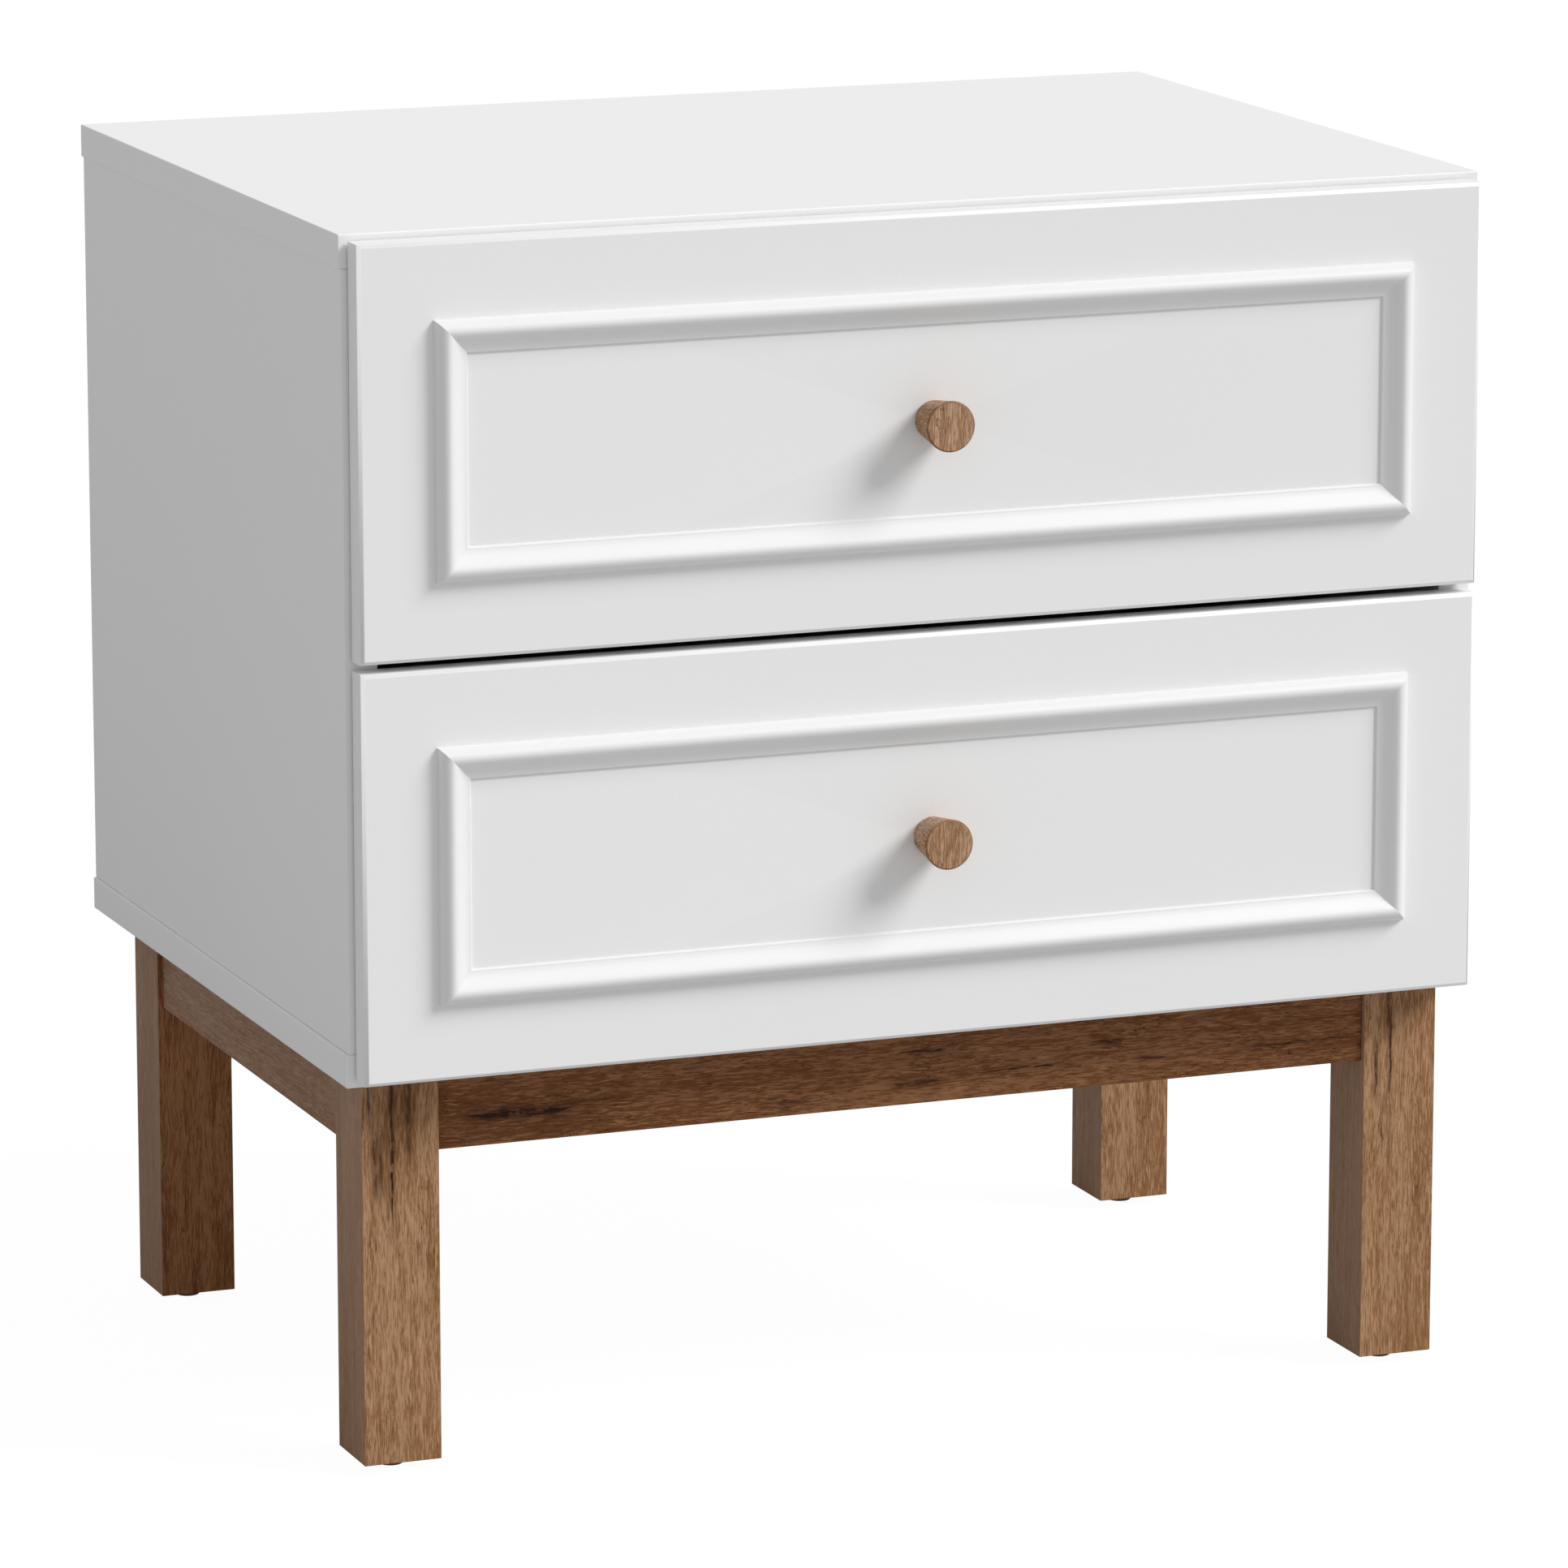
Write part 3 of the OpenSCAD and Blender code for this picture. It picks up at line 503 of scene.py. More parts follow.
woodLooks = {
    # turn of the grain's z towards the piece's grain, strength of the figure, stain over the wood; the leg
    # and rail stains also carry painted sheen and painted shade, as lit and shaded copies of the one wood
    # painted sheen: the legs' main stain is lighter and hazier, standing in for the key light's glint on
    # their lit faces
    "legWoodPaintedSheen": {"turn": (0, 0, 0), "figure": 1.05, "stain": (0.83, 0.78, 0.695)},
    # painted shade: the leg sides get a greyer stain for the side turned from the key light; their weaker
    # figure is the wood's own
    "legSideWoodPaintedShade": {"turn": (0, 0, 0), "figure": 0.35, "stain": (0.79, 0.82, 0.91)},
    # painted shade: a darker, redder stain for the back-left leg's front face, which stands in the cabinet's
    # shadow
    "backLegWoodPaintedShade": {"turn": (0, 0, 0), "figure": 1.0, "stain": (0.68, 0.51, 0.365)},
    # painted shade: the rails' stain is darker and more saturated, standing in for the shade under the
    # cabinet; their stronger figure is the wood's own
    "railWoodPaintedShade": {"turn": (0, 90, 0), "figure": 1.6, "stain": (0.515, 0.385, 0.285)},
    # painted shade: the side rails get a greyer stain like the leg sides, for faces turned from the key
    # light
    "sideRailWoodPaintedShade": {"turn": (90, 0, 0), "figure": 0.55, "stain": (0.74, 0.75, 0.82)},
    "knobFaceWood": {"turn": (0, 0, 0), "figure": 1.15, "stain": (0.96, 0.99, 1.08)},
    "knobSideWood": {"turn": (90, 0, 0), "figure": 1.3, "stain": (0.92, 0.95, 0.98)},
    "knobRimWood": {"turn": (90, 0, 0), "figure": 0.8, "stain": (0.66, 0.60, 0.56)},
}
woodFinish = {"gloss": 0.12, "relief": 0.00018, "splitTone": (0.018, 0.008, 0.005, 1)}
woodTones = {"pale": (0.56, 0.350, 0.218), "middle": (0.335, 0.166, 0.073), "deep": (0.115, 0.045, 0.0165)}
# splits and knots, and soft patches of painted shade: middle, half length along the grain and half width in
# millimetres, how dark the split is, how far the wood around it darkens
legSplitsAndShade = [((-259.8, -172, 165), 56, 1.3, 0.97, 0.7), ((-251.6, -172, 174), 30, 1.5, 0.62, 0.7),
            ((-268.2, -172, 150), 17, 1.0, 0.65, 0.8), ((-269.2, -172, 74), 11, 0.35, 0.6, 0.4),
            ((-265.2, -172, 148), 12, 0.7, 0.6, 0.6), ((-271.0, -172, 184), 16, 0.7, 0.6, 0.5),
            # the first entry here, with no split, is painted shade on the top of the front-left leg, under
            # the drawer front
            ((-256.0, -172, 194), 44, 9.0, 0.0, 0.6), ((-266.6, -172, 150), 24, 2.6, 0.0, 0.5),
            ((243.2, -172, 150), 19, 1.1, 0.65, 0.7), ((250.8, -172, 160), 36, 0.9, 0.9, 0.5),
            ((249.5, -172, 180), 16, 1.4, 0.5, 0.6), ((246.5, -172, 120), 14, 0.5, 0.7, 0.4),
            # the next entry, with no split, is painted shade on the top of the front-right leg, under the
            # drawer front
            ((256.0, -172, 194), 30, 9.0, 0.0, 0.35)]
railSplitsAndShade = [((-196, -170, 167.5), 34, 3.2, 0.98, 0.9), ((8.6, -170, 179), 14, 1.1, 0.7, 0.6),
             ((4, -170, 163.5), 15, 1.7, 0.6, 0.6), ((62, -170, 166), 30, 0.8, 0.9, 0.5),
             ((102, -170, 175), 10, 0.9, 0.7, 0.6), ((126, -170, 165), 10, 0.9, 0.7, 0.6),
             ((-60, -170, 160), 12, 1.4, 0.5, 0.5), ((205, -170, 166), 36, 0.7, 0.8, 0.5),
             # the last entry, with no split, is painted shade on the rail's left end beside the leg
             ((-210, -170, 158), 60, 5.0, 0.0, 0.45)]


def stained(name, stain):
    return (*(value * share for value, share in zip(woodTones[name], stain)), 1)


def woodMaterial(name, marks=()):
    look = woodLooks[name]
    material, tree, shader, where = startMaterial(name)
    turned = addNode(tree, "ShaderNodeMapping", {"Vector": where})
    turned.inputs["Rotation"].default_value = [math.radians(a) for a in look["turn"]]
    along = turned.outputs[0]
    pale, middle, deep = (stained(tone, look["stain"]) for tone in ("pale", "middle", "deep"))
    figured = placeGroup(tree, grainGroup, {"Vector": along, "Pale": pale, "Middle": middle, "Deep": deep,
                                            "Figure": look["figure"]})
    color, height = figured.outputs["Color"], figured.outputs["Height"]
    turn = turned.inputs["Rotation"].default_value.to_matrix()
    # marks with no split use only their halo, which then paints shade
    for place, halfLength, halfWidth, darkness, spread in marks:
        crack = placeGroup(tree, crackGroup, {
            "Vector": along, "Centre": turn @ (Vector(place) * mm),
            "Half Length": halfLength * mm, "Half Width": halfWidth * mm})
        color = blendColor(tree, calc(tree, "MULTIPLY", crack.outputs["Halo"], spread), color, deep)
        core = calc(tree, "MULTIPLY", crack.outputs["Mask"], darkness)
        color = blendColor(tree, core, color, woodFinish["splitTone"])
        height = calc(tree, "SUBTRACT", height, core)
    tree.links.new(color, shader.inputs["Base Color"])
    tree.links.new(figured.outputs["Roughness"], shader.inputs["Roughness"])
    shader.inputs["Specular IOR Level"].default_value = woodFinish["gloss"]
    addBump(tree, shader, height, woodFinish["relief"])
    return material


def beechMaterial():
    material, tree, shader, where = startMaterial("dowelBeech")
    figured = placeGroup(tree, grainGroup, {
        "Vector": where, "Pale": (0.62, 0.44, 0.26, 1), "Middle": (0.52, 0.34, 0.18, 1),
        "Deep": (0.35, 0.2, 0.1, 1), "Figure": 0.4})
    tree.links.new(figured.outputs["Color"], shader.inputs["Base Color"])
    shader.inputs["Roughness"].default_value = 0.65
    addBump(tree, shader, figured.outputs["Height"], 0.0001)
    return material


finish = {name: skinMaterial(name) for name in skinLooks}
finish.update({name: metalMaterial(name) for name in metalLooks})
finish["legWoodPaintedSheen"] = woodMaterial("legWoodPaintedSheen", legSplitsAndShade)
finish["railWoodPaintedShade"] = woodMaterial("railWoodPaintedShade", railSplitsAndShade)
for name in ("legSideWoodPaintedShade", "backLegWoodPaintedShade", "sideRailWoodPaintedShade", "knobFaceWood", "knobSideWood", "knobRimWood"):
    finish[name] = woodMaterial(name)
finish["hardboardRaw"] = fibreMaterial()
finish["dowelBeech"] = beechMaterial()
print("finishes ready:", len(finish))


# meshes

touching = 2e-6      # corners nearer than this are one corner, in metres


def newPiece(name, mesh, material, body, replaced):
    piece = bpy.data.objects.new(name, mesh)
    bpy.context.scene.collection.objects.link(piece)
    for item in material if isinstance(material, (list, tuple)) else [material]:
        if item.name not in mesh.materials:
            mesh.materials.append(item)
    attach(piece, body)
    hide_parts(*replaced)
    return piece


def smoothMesh(mesh, angle=32):
    mesh.shade_smooth()
    mesh.set_sharp_from_angle(angle=math.radians(angle))


def meshFrom(shape, name, angle=32):
    mesh = bpy.data.meshes.new(name)
    shape.to_mesh(mesh)
    shape.free()
    smoothMesh(mesh, angle)
    return mesh


def flatFaced(piece):
    # broad faces keep their own normals, and only the rounded edges shade softly
    weights = piece.modifiers.new("broadFaces", "WEIGHTED_NORMAL")
    weights.keep_sharp = True
    weights.weight = 100


def copyOfNode(name):
    # a CAD node's mesh with its split corners merged and its flat triangles joined
    shape = bmesh.new()
    shape.from_mesh(nodes[name].data)
    bmesh.ops.remove_doubles(shape, verts=shape.verts, dist=touching)
    bmesh.ops.dissolve_limit(shape, angle_limit=math.radians(0.5), verts=shape.verts, edges=shape.edges)
    return shape


def outerEdges(shape, low, high):
    # the straight edges of a board that lie on two faces of its box
    found = []
    for edge in shape.edges:
        planes = 0
        for axis in range(3):
            for limit in (low[axis], high[axis]):
                planes += all(abs(v.co[axis] - limit) < touching for v in edge.verts)
        if planes >= 2:
            found.append(edge)
    return found


def roundEdges(shape, edges, radius, segments=3):
    bmesh.ops.bevel(shape, geom=edges, offset=radius, segments=segments, profile=0.5,
                    affect="EDGES", offset_type="OFFSET", clamp_overlap=True)


boards = {
    # nodes, radius of their edges in millimetres, finish, material slot
    "panels": (["top_panel", "bottom_panel"], 0.7, "whiteLacquer", "white_lacquer"),
    "sidePanels": (["left_side_panel", "right_side_panel"], 0.5, "whiteLacquer", "white_lacquer"),
    "drawerSides": ([f"{level}_{side}_drawer_side" for level in levels for side in sides], 0.5,
                    "drawerFoil", "drawer_board"),
    "drawerBacks": ([f"{level}_drawer_back" for level in levels], 0.5, "drawerFoil", "drawer_board"),
}


def makeBoards():
    for names, radius, finishName, slotName in boards.values():
        for name in names:
            shape = copyOfNode(name)
            low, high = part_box(name)
            roundEdges(shape, outerEdges(shape, low, high), radius * mm)
            mesh = meshFrom(shape, name + "_board")
            flatFaced(newPiece(name + "_board", mesh, finish[finishName], bodyOf[name], [name]))
    print("boards made")


makeBoards()


frontShape = {"softening": 0.55, "shortestEdge": 50, "edgeDepth": 4}


def makeFronts(look):
    for level in levels:
        name = level + "_drawer_front"
        shape = copyOfNode(name)
        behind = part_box(name)[0].y + look["edgeDepth"] * mm
        front = [edge for edge in shape.edges if edge.calc_length() > look["shortestEdge"] * mm
                 and all(v.co.y < behind for v in edge.verts)]
        roundEdges(shape, front, look["softening"] * mm)
        mesh = meshFrom(shape, name + "_panel", 50)
        flatFaced(newPiece(name + "_panel", mesh, finish["whiteLacquer"], bodyOf[name],
                           [name]))
    print("drawer fronts made")


makeFronts(frontShape)


legFrame = {"edgeRadius": 0.5}


def makeLegFrame(look):
    names = [f"{end}_{side}_leg" for end in ("front", "back") for side in sides]
    names += [f"{end}_rail" for end in ("front", "back", "left", "right")]
    for name in names:
        shape = copyOfNode(name)
        low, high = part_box(name)
        roundEdges(shape, outerEdges(shape, low, high), look["edgeRadius"] * mm)
        mesh = meshFrom(shape, name + "_wood")
        if name.endswith("leg"):
            materials = [finish["legWoodPaintedSheen"], finish["backLegWoodPaintedShade"], finish["legSideWoodPaintedShade"]]
        elif name.startswith(("left", "right")):
            materials = [finish["sideRailWoodPaintedShade"]]
        else:
            materials = [finish["railWoodPaintedShade"]]
        # on the legs, faces turned to ±x take the greyer copy, which is painted shade on the side away from
        # the key light
        for face in mesh.polygons:
            # the back-left leg's front face takes the darker copy: painted shade from the cabinet above it
            paintedShadeFace = name == "back_left_leg" and face.normal.y < -0.7
            face.material_index = len(materials) - 1 if abs(face.normal.x) > 0.7 else int(paintedShadeFace)
        flatFaced(newPiece(name + "_wood", mesh, materials, bodyOf[name], [name]))
    print("leg frame made")


makeLegFrame(legFrame)


# mouldings: a bead with a steep outer flank and a small step inside, mitred at the corners

moulding = {
    # distance in from the outer edge and height, in millimetres, from the foot over the crest
    "bead": [(0.0, 0.3), (0.3, 1.9), (1.0, 3.6), (2.1, 5.0), (3.4, 5.95), (4.6, 6.4), (5.6, 6.5),
             (6.9, 6.15), (8.6, 5.15), (10.7, 3.65), (12.7, 2.35), (14.6, 1.45)],
    "pointsBetween": 5,
    # the small step inside the bead
    "step": [(14.8, 1.4), (15.2, 1.3), (15.6, 1.05), (15.9, 0.6), (16.0, 0.0)],
}


def smoothLine(points, between):
    # a rounded line through every point
    line = []
    for i in range(len(points) - 1):
        before, start = Vector(points[max(i - 1, 0)]), Vector(points[i])
        end, after = Vector(points[i + 1]), Vector(points[min(i + 2, len(points) - 1)])
        for step in range(between):
            t = step / between
            line.append(0.5 * (2 * start + (end - before) * t
                               + (2 * before - 5 * start + 4 * end - after) * t ** 2
                               + (3 * start - before - 3 * end + after) * t ** 3))
    return line + [Vector(points[-1])]


def mouldingProfile(look, height):
    # points (distance in from the outer edge, height above the drawer front), in metres
    crest = max(h for s, h in look["bead"])
    bead = [(max(s, 0.0) * mm, min(h / crest, 1.0) * height)
            for s, h in smoothLine(look["bead"], look["pointsBetween"])]
    return [(0.0, 0.0)] + bead + [(s * mm, h * mm) for s, h in look["step"]]


def mouldingStrip(profile, corners, start, faceY):
    # one mitred length between two corners of the frame, counted from the outer corner
    first, second = corners[start], corners[(start + 1) % 4]
    middle = sum((Vector(c) for c in corners), Vector((0, 0))) / 4
    shape = bmesh.new()
    rings = []
    for corner in (first, second):
        inwards = Vector((math.copysign(1, middle.x - corner[0]), math.copysign(1, middle.y - corner[1])))
        rings.append([shape.verts.new((corner[0] + inwards.x * s, faceY - h, corner[1] + inwards.y * s))
                      for s, h in profile])
    for i in range(len(profile)):
        j = (i + 1) % len(profile)
        shape.faces.new((rings[0][i], rings[0][j], rings[1][j], rings[1][i]))
    shape.faces.new(rings[0])
    shape.faces.new(list(reversed(rings[1])))
    bmesh.ops.recalc_face_normals(shape, faces=shape.faces)
    return shape


def makeMouldings(look):
    for level in levels:
        lowS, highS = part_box(level + "_moulding_stiles")
        lowR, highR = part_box(level + "_moulding_rails")
        low = Vector((min(lowS.x, lowR.x), min(lowS.y, lowR.y), min(lowS.z, lowR.z)))
        high = Vector((max(highS.x, highR.x), max(highS.y, highR.y), max(highS.z, highR.z)))
        faceY, height = high.y, high.y - low.y
        profile = mouldingProfile(look, height)
        corners = [(low.x, low.z), (high.x, low.z), (high.x, high.z), (low.x, high.z)]
        for part, starts in (("rails", (0, 2)), ("stiles", (1, 3))):
            name = f"{level}_moulding_{part}"
            whole = bmesh.new()
            for start in starts:
                strip = mouldingStrip(profile, corners, start, faceY)
                mesh = bpy.data.meshes.new("strip")
                strip.to_mesh(mesh)
                strip.free()
                whole.from_mesh(mesh)
                bpy.data.meshes.remove(mesh)
            mesh = meshFrom(whole, name + "_beads", 28)
            newPiece(name + "_beads", mesh, finish["mouldingLacquerPaintedShade"], bodyOf[name],
                     [name])
    print("mouldings made")


makeMouldings(moulding)


# turned pieces: an outline of (radius, distance along the axis) spun round an axis

def spun(outline, centre, axis, steps=64, closed=False):
    shape = bmesh.new()
    turn = Vector(axis).to_track_quat("Z", "X").to_matrix()
    rings = []
    for radius, along in outline:
        if radius < 1e-7:
            rings.append([shape.verts.new(Vector(centre) + turn @ Vector((0, 0, along)))])
            continue
        ring = []
        for i in range(steps):
            angle = 2 * math.pi * i / steps
            offset = turn @ Vector((radius * math.cos(angle), radius * math.sin(angle), along))
            ring.append(shape.verts.new(Vector(centre) + offset))
        rings.append(ring)
    pairs = list(zip(rings, rings[1:])) + ([(rings[-1], rings[0])] if closed else [])
    for lower, upper in pairs:
        for i in range(steps):
            j = (i + 1) % steps
            corners = [lower[i % len(lower)], lower[j % len(lower)],
                       upper[j % len(upper)], upper[i % len(upper)]]
            corners = [c for k, c in enumerate(corners) if c not in corners[:k]]
            if len(corners) > 2:
                shape.faces.new(corners)
    bmesh.ops.recalc_face_normals(shape, faces=shape.faces)
    return shape


knob = {"chamfer": 0.7, "baseDiameter": 18.4, "baseRound": 0.4, "steps": 96}


def makeKnobs(look):
    for level in levels:
        name = level + "_knob"
        low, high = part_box(name)
        centre = (low + high) / 2
        radius, length = (high.x - low.x) / 2, high.y - low.y
        base, chamfer, soft = look["baseDiameter"] / 2 * mm, look["chamfer"] * mm, look["baseRound"] * mm
        outline = [(0.0, 0.0), (base - soft, 0.0), (base - soft * 0.3, soft * 0.3), (base, soft)]
        outline += [(radius, length - chamfer), (radius - chamfer * 0.35, length - chamfer * 0.35),
                    (radius - chamfer, length), (0.0, length)]
        shape = spun(outline, (centre.x, high.y, centre.z), (0, -1, 0), look["steps"])
        mesh = meshFrom(shape, name + "_turned", 24)
        for face in mesh.polygons:
            onRim = face.center.y < low.y + chamfer and face.normal.y > -0.98
            face.material_index = 2 if onRim else 0 if face.normal.y < -0.98 else 1
        woods = [finish[wood] for wood in ("knobFaceWood", "knobSideWood", "knobRimWood")]
        newPiece(name + "_turned", mesh, woods, bodyOf[name], [name])
    print("knobs made")


makeKnobs(knob)


# runners: folded steel with rounded bends

runnerShape = {"outerBend": 1.2, "innerBend": 0.4, "lipRound": 0.25, "shortestBend": 200}


def longEdges(shape, convex):
    return [edge for edge in shape.edges
            if edge.calc_length() > runnerShape["shortestBend"] * mm and edge.is_convex == convex]


def makeRunners(look):
    for level in levels:
        for side in sides:
            for owner in ("cabinet", "drawer"):
                name = f"{level}_{side}_{owner}_runner"
                shape = copyOfNode(name)
                roundEdges(shape, longEdges(shape, False), look["innerBend"] * mm)
                if owner == "cabinet":
                    low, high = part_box(name)
                    webX = low.x if side == "left" else high.x
                    bends = [e for e in longEdges(shape, True) if abs(e.verts[0].co.x - webX) < touching]
                    roundEdges(shape, bends, look["outerBend"] * mm, 4)
                roundEdges(shape, [e for e in longEdges(shape, True) if e.calc_face_angle(0) > 1.2],
                           look["lipRound"] * mm, 2)
                mesh = meshFrom(shape, name + "_steel")
                flatFaced(newPiece(name + "_steel", mesh, finish["runnerEpoxy"], bodyOf[name],
                                   [name]))
    print("runners made")


makeRunners(runnerShape)


# rollers: nylon wheels with a sunk web between hub and tread

roller = {"bore": 4.1, "hub": 8.2, "treadInside": 12.6, "webSink": 1.1, "rimRound": 0.6, "steps": 72}


def makeRollers(look):
    for level in levels:
        for side in sides:
            for owner in ("cabinet", "drawer"):
                name = f"{level}_{side}_{owner}_roller"
                low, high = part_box(name)
                centre = (low + high) / 2
                radius, wide, soft = (high.z - low.z) / 2, high.x - low.x, look["rimRound"] * mm
                bore, hub, tread = (look[key] / 2 * mm for key in ("bore", "hub", "treadInside"))
                sink = look["webSink"] * mm
                half = [(bore, 0), (hub, 0), (hub + soft / 2, sink), (tread - soft / 2, sink), (tread, 0),
                        (radius - soft, 0), (radius - soft * 0.3, soft * 0.3), (radius, soft)]
                outline = half + [(r, wide - along) for r, along in reversed(half)]
                shape = spun(outline, (low.x, centre.y, centre.z), (1, 0, 0), look["steps"], closed=True)
                mesh = meshFrom(shape, name + "_wheel")
                newPiece(name + "_wheel", mesh, finish["rollerNylon"], bodyOf[name], [name])
    print("rollers made")


makeRollers(roller)


# hardboard: white on its face, raw brown on its rear and its edges

hardboard = {"edgeRadius": 0.15}


def makeHardboard(look):
    faces = {"back_panel": Vector((0, -1, 0))}
    faces.update({level + "_drawer_bottom": Vector((0, 0, 1)) for level in levels})
    for name, whiteSide in faces.items():
        shape = copyOfNode(name)
        low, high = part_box(name)
        roundEdges(shape, outerEdges(shape, low, high), look["edgeRadius"] * mm, 2)
        mesh = meshFrom(shape, name + "_sheet")
        for face in mesh.polygons:
            face.material_index = 0 if face.normal.dot(whiteSide) > 0.9 else 1
        flatFaced(newPiece(name + "_sheet", mesh, [finish["hardboardWhite"], finish["hardboardRaw"]],
                           bodyOf[name], [name]))
    print("hardboard made")


makeHardboard(hardboard)


# fittings: Geometry Nodes build one and set a copy at each place

fittingMesh = {"sides": 40, "tipRatio": 0.35}


def extruded(tree, mesh, face, rise, ratio):
    # grows one face of a turned solid outwards, then narrows or widens its end
    grown = addNode(tree, "GeometryNodeExtrudeMesh", {
        "Mesh": mesh, "Selection": face, "Offset Scale": rise, "Individual": False}, mode="FACES")
    sized = addNode(tree, "GeometryNodeScaleElements", {"Geometry": grown.outputs["Mesh"],
                                                        "Selection": grown.outputs["Top"], "Scale": ratio})
    return sized.outputs["Geometry"], grown.outputs["Top"]


def makeFittingTree(name, recessed):
    # a turned fitting with its face at its origin and its shank along -z
    sizes = [("Face Diameter", 0.006), ("Rim Height", 0.0004), ("Edge Round", 0.0002),
             ("Taper Height", 0.001), ("Shank Diameter", 0.003), ("Shank Length", 0.008),
             ("Tip Length", 0.001), ("Recess Length", 0.003), ("Recess Width", 0.0008),
             ("Recess Depth", 0.0006)]
    inputs = [("Geometry", "NodeSocketGeometry", None)]
    inputs += [(label, "NodeSocketFloat", value) for label, value in sizes]
    inputs += [("Seed", "NodeSocketInt", 1), ("Material", "NodeSocketMaterial", None)]
    tree, given, result = newGroup(name, "GeometryNodeTree", inputs,
                                   [("Geometry", "NodeSocketGeometry", None)])
    size = given.outputs
    faceRadius = calc(tree, "MULTIPLY", size["Face Diameter"], 0.5)
    shankRatio = calc(tree, "DIVIDE", size["Shank Diameter"], size["Face Diameter"])
    disc = addNode(tree, "GeometryNodeMeshCylinder", {
        "Vertices": fittingMesh["sides"], "Radius": faceRadius, "Depth": size["Rim Height"]},
                   fill_type="NGON")
    flatRatio = calc(tree, "DIVIDE", calc(tree, "SUBTRACT", faceRadius, size["Edge Round"]), faceRadius)
    mesh = extruded(tree, disc.outputs["Mesh"], disc.outputs["Top"], size["Edge Round"], flatRatio)[0]
    mesh, end = extruded(tree, mesh, disc.outputs["Bottom"], size["Taper Height"], shankRatio)
    mesh, end = extruded(tree, mesh, end, size["Shank Length"], 1.0)
    mesh = extruded(tree, mesh, end, size["Tip Length"], fittingMesh["tipRatio"])[0]
    faceHeight = calc(tree, "MULTIPLY_ADD", size["Rim Height"], 0.5, size["Edge Round"])
    if recessed:
        arms = addNode(tree, "GeometryNodeJoinGeometry")
        for across in (False, True):
            lengths = [size["Recess Width"], size["Recess Length"]]
            depth = calc(tree, "MULTIPLY", size["Recess Depth"], 2.0)
            extent = addNode(tree, "ShaderNodeCombineXYZ", {0: lengths[across], 1: lengths[not across],
                                                            2: depth})
            arm = addNode(tree, "GeometryNodeMeshCube", {"Size": extent.outputs[0]})
            shift = addNode(tree, "ShaderNodeCombineXYZ", {2: faceHeight})
            moved = addNode(tree, "GeometryNodeTransform", {"Geometry": arm.outputs["Mesh"],
                                                            "Translation": shift.outputs[0]})
            tree.links.new(moved.outputs[0], arms.inputs[0])
        cut = addNode(tree, "GeometryNodeMeshBoolean", {0: mesh}, operation="DIFFERENCE")
        tree.links.new(arms.outputs[0], cut.inputs[1])
        mesh = cut.outputs["Mesh"]
    drop = calc(tree, "MULTIPLY", faceHeight, -1.0)
    toFace = addNode(tree, "ShaderNodeCombineXYZ", {2: drop})
    seated = addNode(tree, "GeometryNodeTransform", {"Geometry": mesh, "Translation": toFace.outputs[0]})

    axis = addNode(tree, "GeometryNodeInputNamedAttribute", {"Name": "axis"}, data_type="FLOAT_VECTOR")
    aim = addNode(tree, "FunctionNodeAlignRotationToVector", {"Vector": axis.outputs["Attribute"]}, axis="Z")
    spin = addNode(tree, "FunctionNodeRandomValue", {"Seed": size["Seed"]}, data_type="FLOAT")
    turn = calc(tree, "MULTIPLY", spin.outputs[1], math.tau)
    local = addNode(tree, "FunctionNodeAxisAngleToRotation", {"Axis": (0, 0, 1), "Angle": turn})
    both = addNode(tree, "FunctionNodeRotateRotation", {
        "Rotation": aim.outputs[0], "Rotate By": local.outputs[0]}, rotation_space="LOCAL")
    copies = addNode(tree, "GeometryNodeInstanceOnPoints", {
        "Points": size["Geometry"], "Instance": seated.outputs[0], "Rotation": both.outputs[0]})
    real = addNode(tree, "GeometryNodeRealizeInstances", {"Geometry": copies.outputs[0]})
    finished = addNode(tree, "GeometryNodeSetMaterial", {"Geometry": real.outputs[0],
                                                         "Material": size["Material"]})
    tree.links.new(finished.outputs[0], result.inputs["Geometry"])
    return tree


def bakedTree(tree, points, values):
    # runs a Geometry Nodes tree once and returns its plain mesh
    carrier = bpy.data.objects.new("carrier", points)
    bpy.context.scene.collection.objects.link(carrier)
    modifier = carrier.modifiers.new("build", "NODES")
    modifier.node_group = tree
    for item in tree.interface.items_tree:
        if item.in_out == "INPUT" and item.name in values:
            modifier[item.identifier] = values[item.name]
    evaluated = carrier.evaluated_get(bpy.context.evaluated_depsgraph_get())
    mesh = bpy.data.meshes.new_from_object(evaluated)
    carrier.modifiers.remove(modifier)
    bpy.data.objects.remove(carrier)
    return mesh


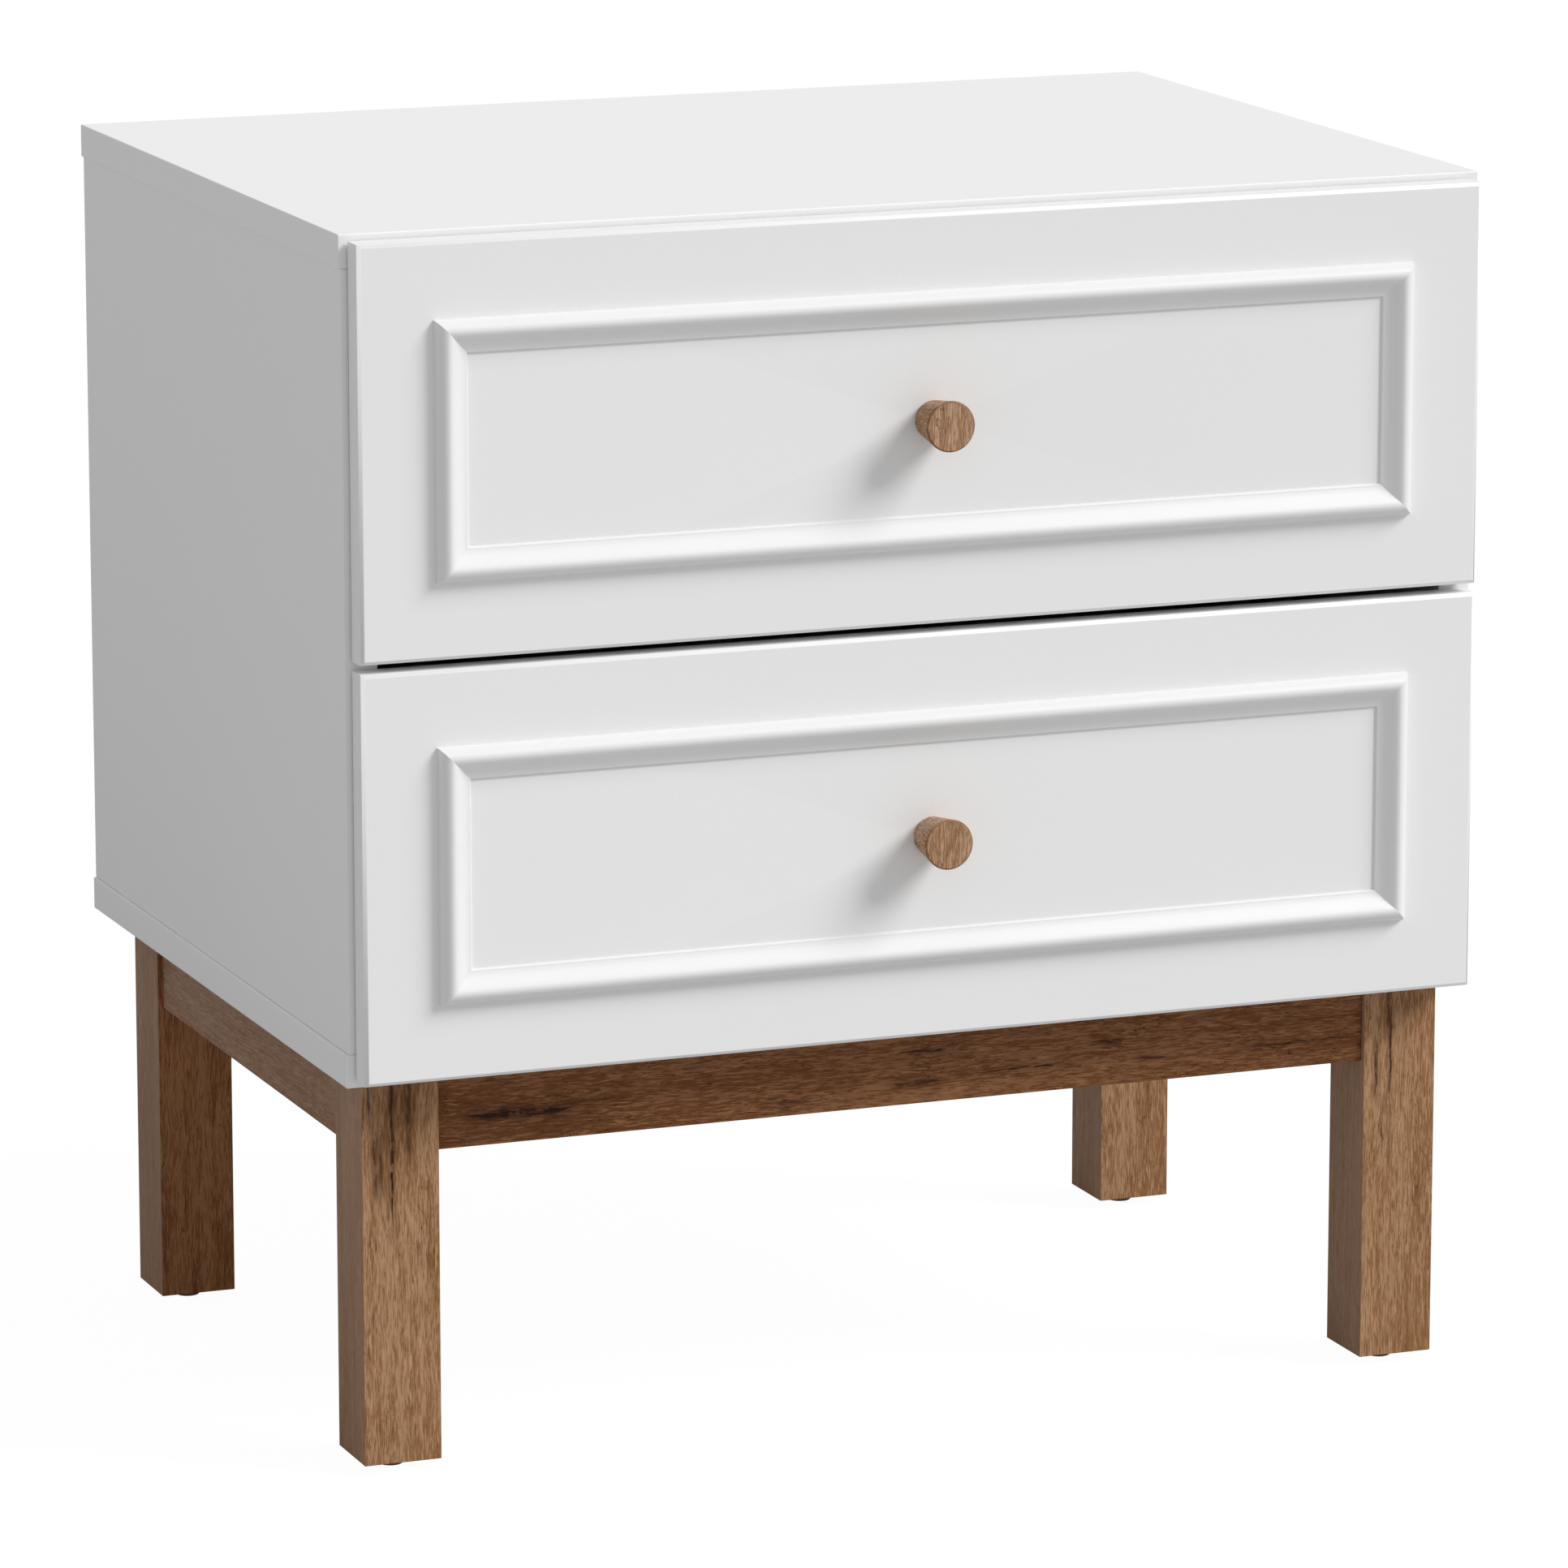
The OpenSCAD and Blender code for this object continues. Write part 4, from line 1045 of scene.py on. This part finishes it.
def placesOf(name):
    # each separate solid of a node: the middle of its face and the way it points outwards
    shape = bmesh.new()
    shape.from_mesh(nodes[name].data)
    bmesh.ops.remove_doubles(shape, verts=shape.verts, dist=touching)
    shape.verts.ensure_lookup_table()
    seen, found = set(), []
    for start in shape.verts:
        if start in seen:
            continue
        part, queue = [], [start]
        seen.add(start)
        while queue:
            vert = queue.pop()
            part.append(vert.co.copy())
            for edge in vert.link_edges:
                other = edge.other_vert(vert)
                if other not in seen:
                    seen.add(other)
                    queue.append(other)
        low = Vector([min(c[i] for c in part) for i in range(3)])
        high = Vector([max(c[i] for c in part) for i in range(3)])
        extent, middle = high - low, (low + high) / 2
        # a round fitting is as wide as it is deep, so its axis is the odd extent out
        axis = max(range(3), key=lambda i: min(abs(extent[i] - extent[j]) for j in range(3) if j != i))
        ends = []
        for limit in (low, high):
            ring = [c for c in part if abs(c[axis] - limit[axis]) < 1e-5]
            reach = max((c - middle).length_squared - (c[axis] - middle[axis]) ** 2 for c in ring)
            ends.append((round(reach, 8), len(ring)))
        outwards = Vector((0, 0, 0))
        outwards[axis] = 1 if ends[1] > ends[0] else -1
        face = middle.copy()
        face[axis] = (high if ends[1] > ends[0] else low)[axis]
        found.append((face, outwards, extent[(axis + 1) % 3], extent[axis]))
    shape.free()
    return found


def pointsAt(places):
    mesh = bpy.data.meshes.new("places")
    mesh.from_pydata([place[0] for place in places], [], [])
    axis = mesh.attributes.new("axis", "FLOAT_VECTOR", "POINT")
    for i, place in enumerate(places):
        axis.data[i].vector = place[1]
    return mesh


screwTree = makeFittingTree("crossHeadFitting", True)
glideTree = makeFittingTree("plainFitting", False)

fittings = {
    # sizes in millimetres; a fitting's face diameter and whole length come from the frame
    "runnerScrew": {"tree": screwTree, "rim": 0.15, "edge": 0.1, "taper": 0.95, "shank": 3.0, "tip": 1.6,
                    "recess": (3.2, 0.75, 0.8), "finish": "zincSteel", "slot": "zinc_steel"},
    "baseScrew": {"tree": screwTree, "rim": 0.25, "edge": 0.15, "taper": 2.0, "shank": 4.0, "tip": 3.0,
                  "recess": (4.4, 0.95, 1.1), "finish": "zincSteel", "slot": "zinc_steel"},
    "knobScrew": {"tree": screwTree, "rim": 1.5, "edge": 0.7, "taper": 0.2, "shank": 4.0, "tip": 0.8,
                  "recess": (4.2, 0.95, 1.3), "finish": "zincSteel", "slot": "zinc_steel"},
    "camLock": {"tree": screwTree, "rim": 0.0, "edge": 0.35, "taper": 0.3, "shank": 0.0, "tip": 0.0,
                "recess": (7.6, 1.4, 1.6), "finish": "zincCasting", "slot": "zinc_casting"},
    "glide": {"tree": glideTree, "rim": 4.2, "edge": 0.7, "taper": 0.1, "shank": 6.0, "tip": 1.0,
              "recess": (0, 0, 0), "finish": "glidePlastic", "slot": "glide_plastic"},
}
fittingNodes = {"cabinet_runner_screws": "runnerScrew", "base_screws": "baseScrew", "cam_locks": "camLock",
                "glides": "glide"}
for level in levels:
    fittingNodes[level + "_drawer_runner_screws"] = "runnerScrew"
    fittingNodes[level + "_drawer_cam_locks"] = "camLock"
    fittingNodes[level + "_knob_screw"] = "knobScrew"


def makeFittings():
    for seed, (name, kind) in enumerate(fittingNodes.items()):
        look = fittings[kind]
        places = placesOf(name)
        across, length = places[0][2], places[0][3]
        rim, edge, taper, tip = (look[key] * mm for key in ("rim", "edge", "taper", "tip"))
        shank = look["shank"] * mm
        if kind == "camLock":
            rim, shank, tip = length - edge - taper - 0.2 * mm, across - 0.6 * mm, 0.1 * mm
        straight = length - rim - edge - taper - tip
        mesh = bakedTree(look["tree"], pointsAt(places), {
            "Face Diameter": across, "Rim Height": rim, "Edge Round": edge, "Taper Height": taper,
            "Shank Diameter": shank, "Shank Length": straight, "Tip Length": tip,
            "Recess Length": look["recess"][0] * mm, "Recess Width": look["recess"][1] * mm,
            "Recess Depth": look["recess"][2] * mm, "Seed": seed, "Material": finish[look["finish"]]})
        smoothMesh(mesh, 40)
        newPiece(name + "_fitted", mesh, finish[look["finish"]], bodyOf[name], [name])
        print(" ", name, len(places), "x", kind, round(across / mm, 2), round(length / mm, 2))
    print("fittings made")


makeFittings()


# carried-over nodes: dowels and bolts inside the boards keep their CAD shape

carried = {"dowels": "dowelBeech", "cam_bolts": "zincSteel"}
carried.update({level + "_drawer_cam_bolts": "zincSteel" for level in levels})


def finishCarried(choices):
    for name, finishName in choices.items():
        for slot in nodes[name].material_slots:
            slot.material = finish[finishName]
    print("carried-over nodes finished:", len(choices))


finishCarried(carried)
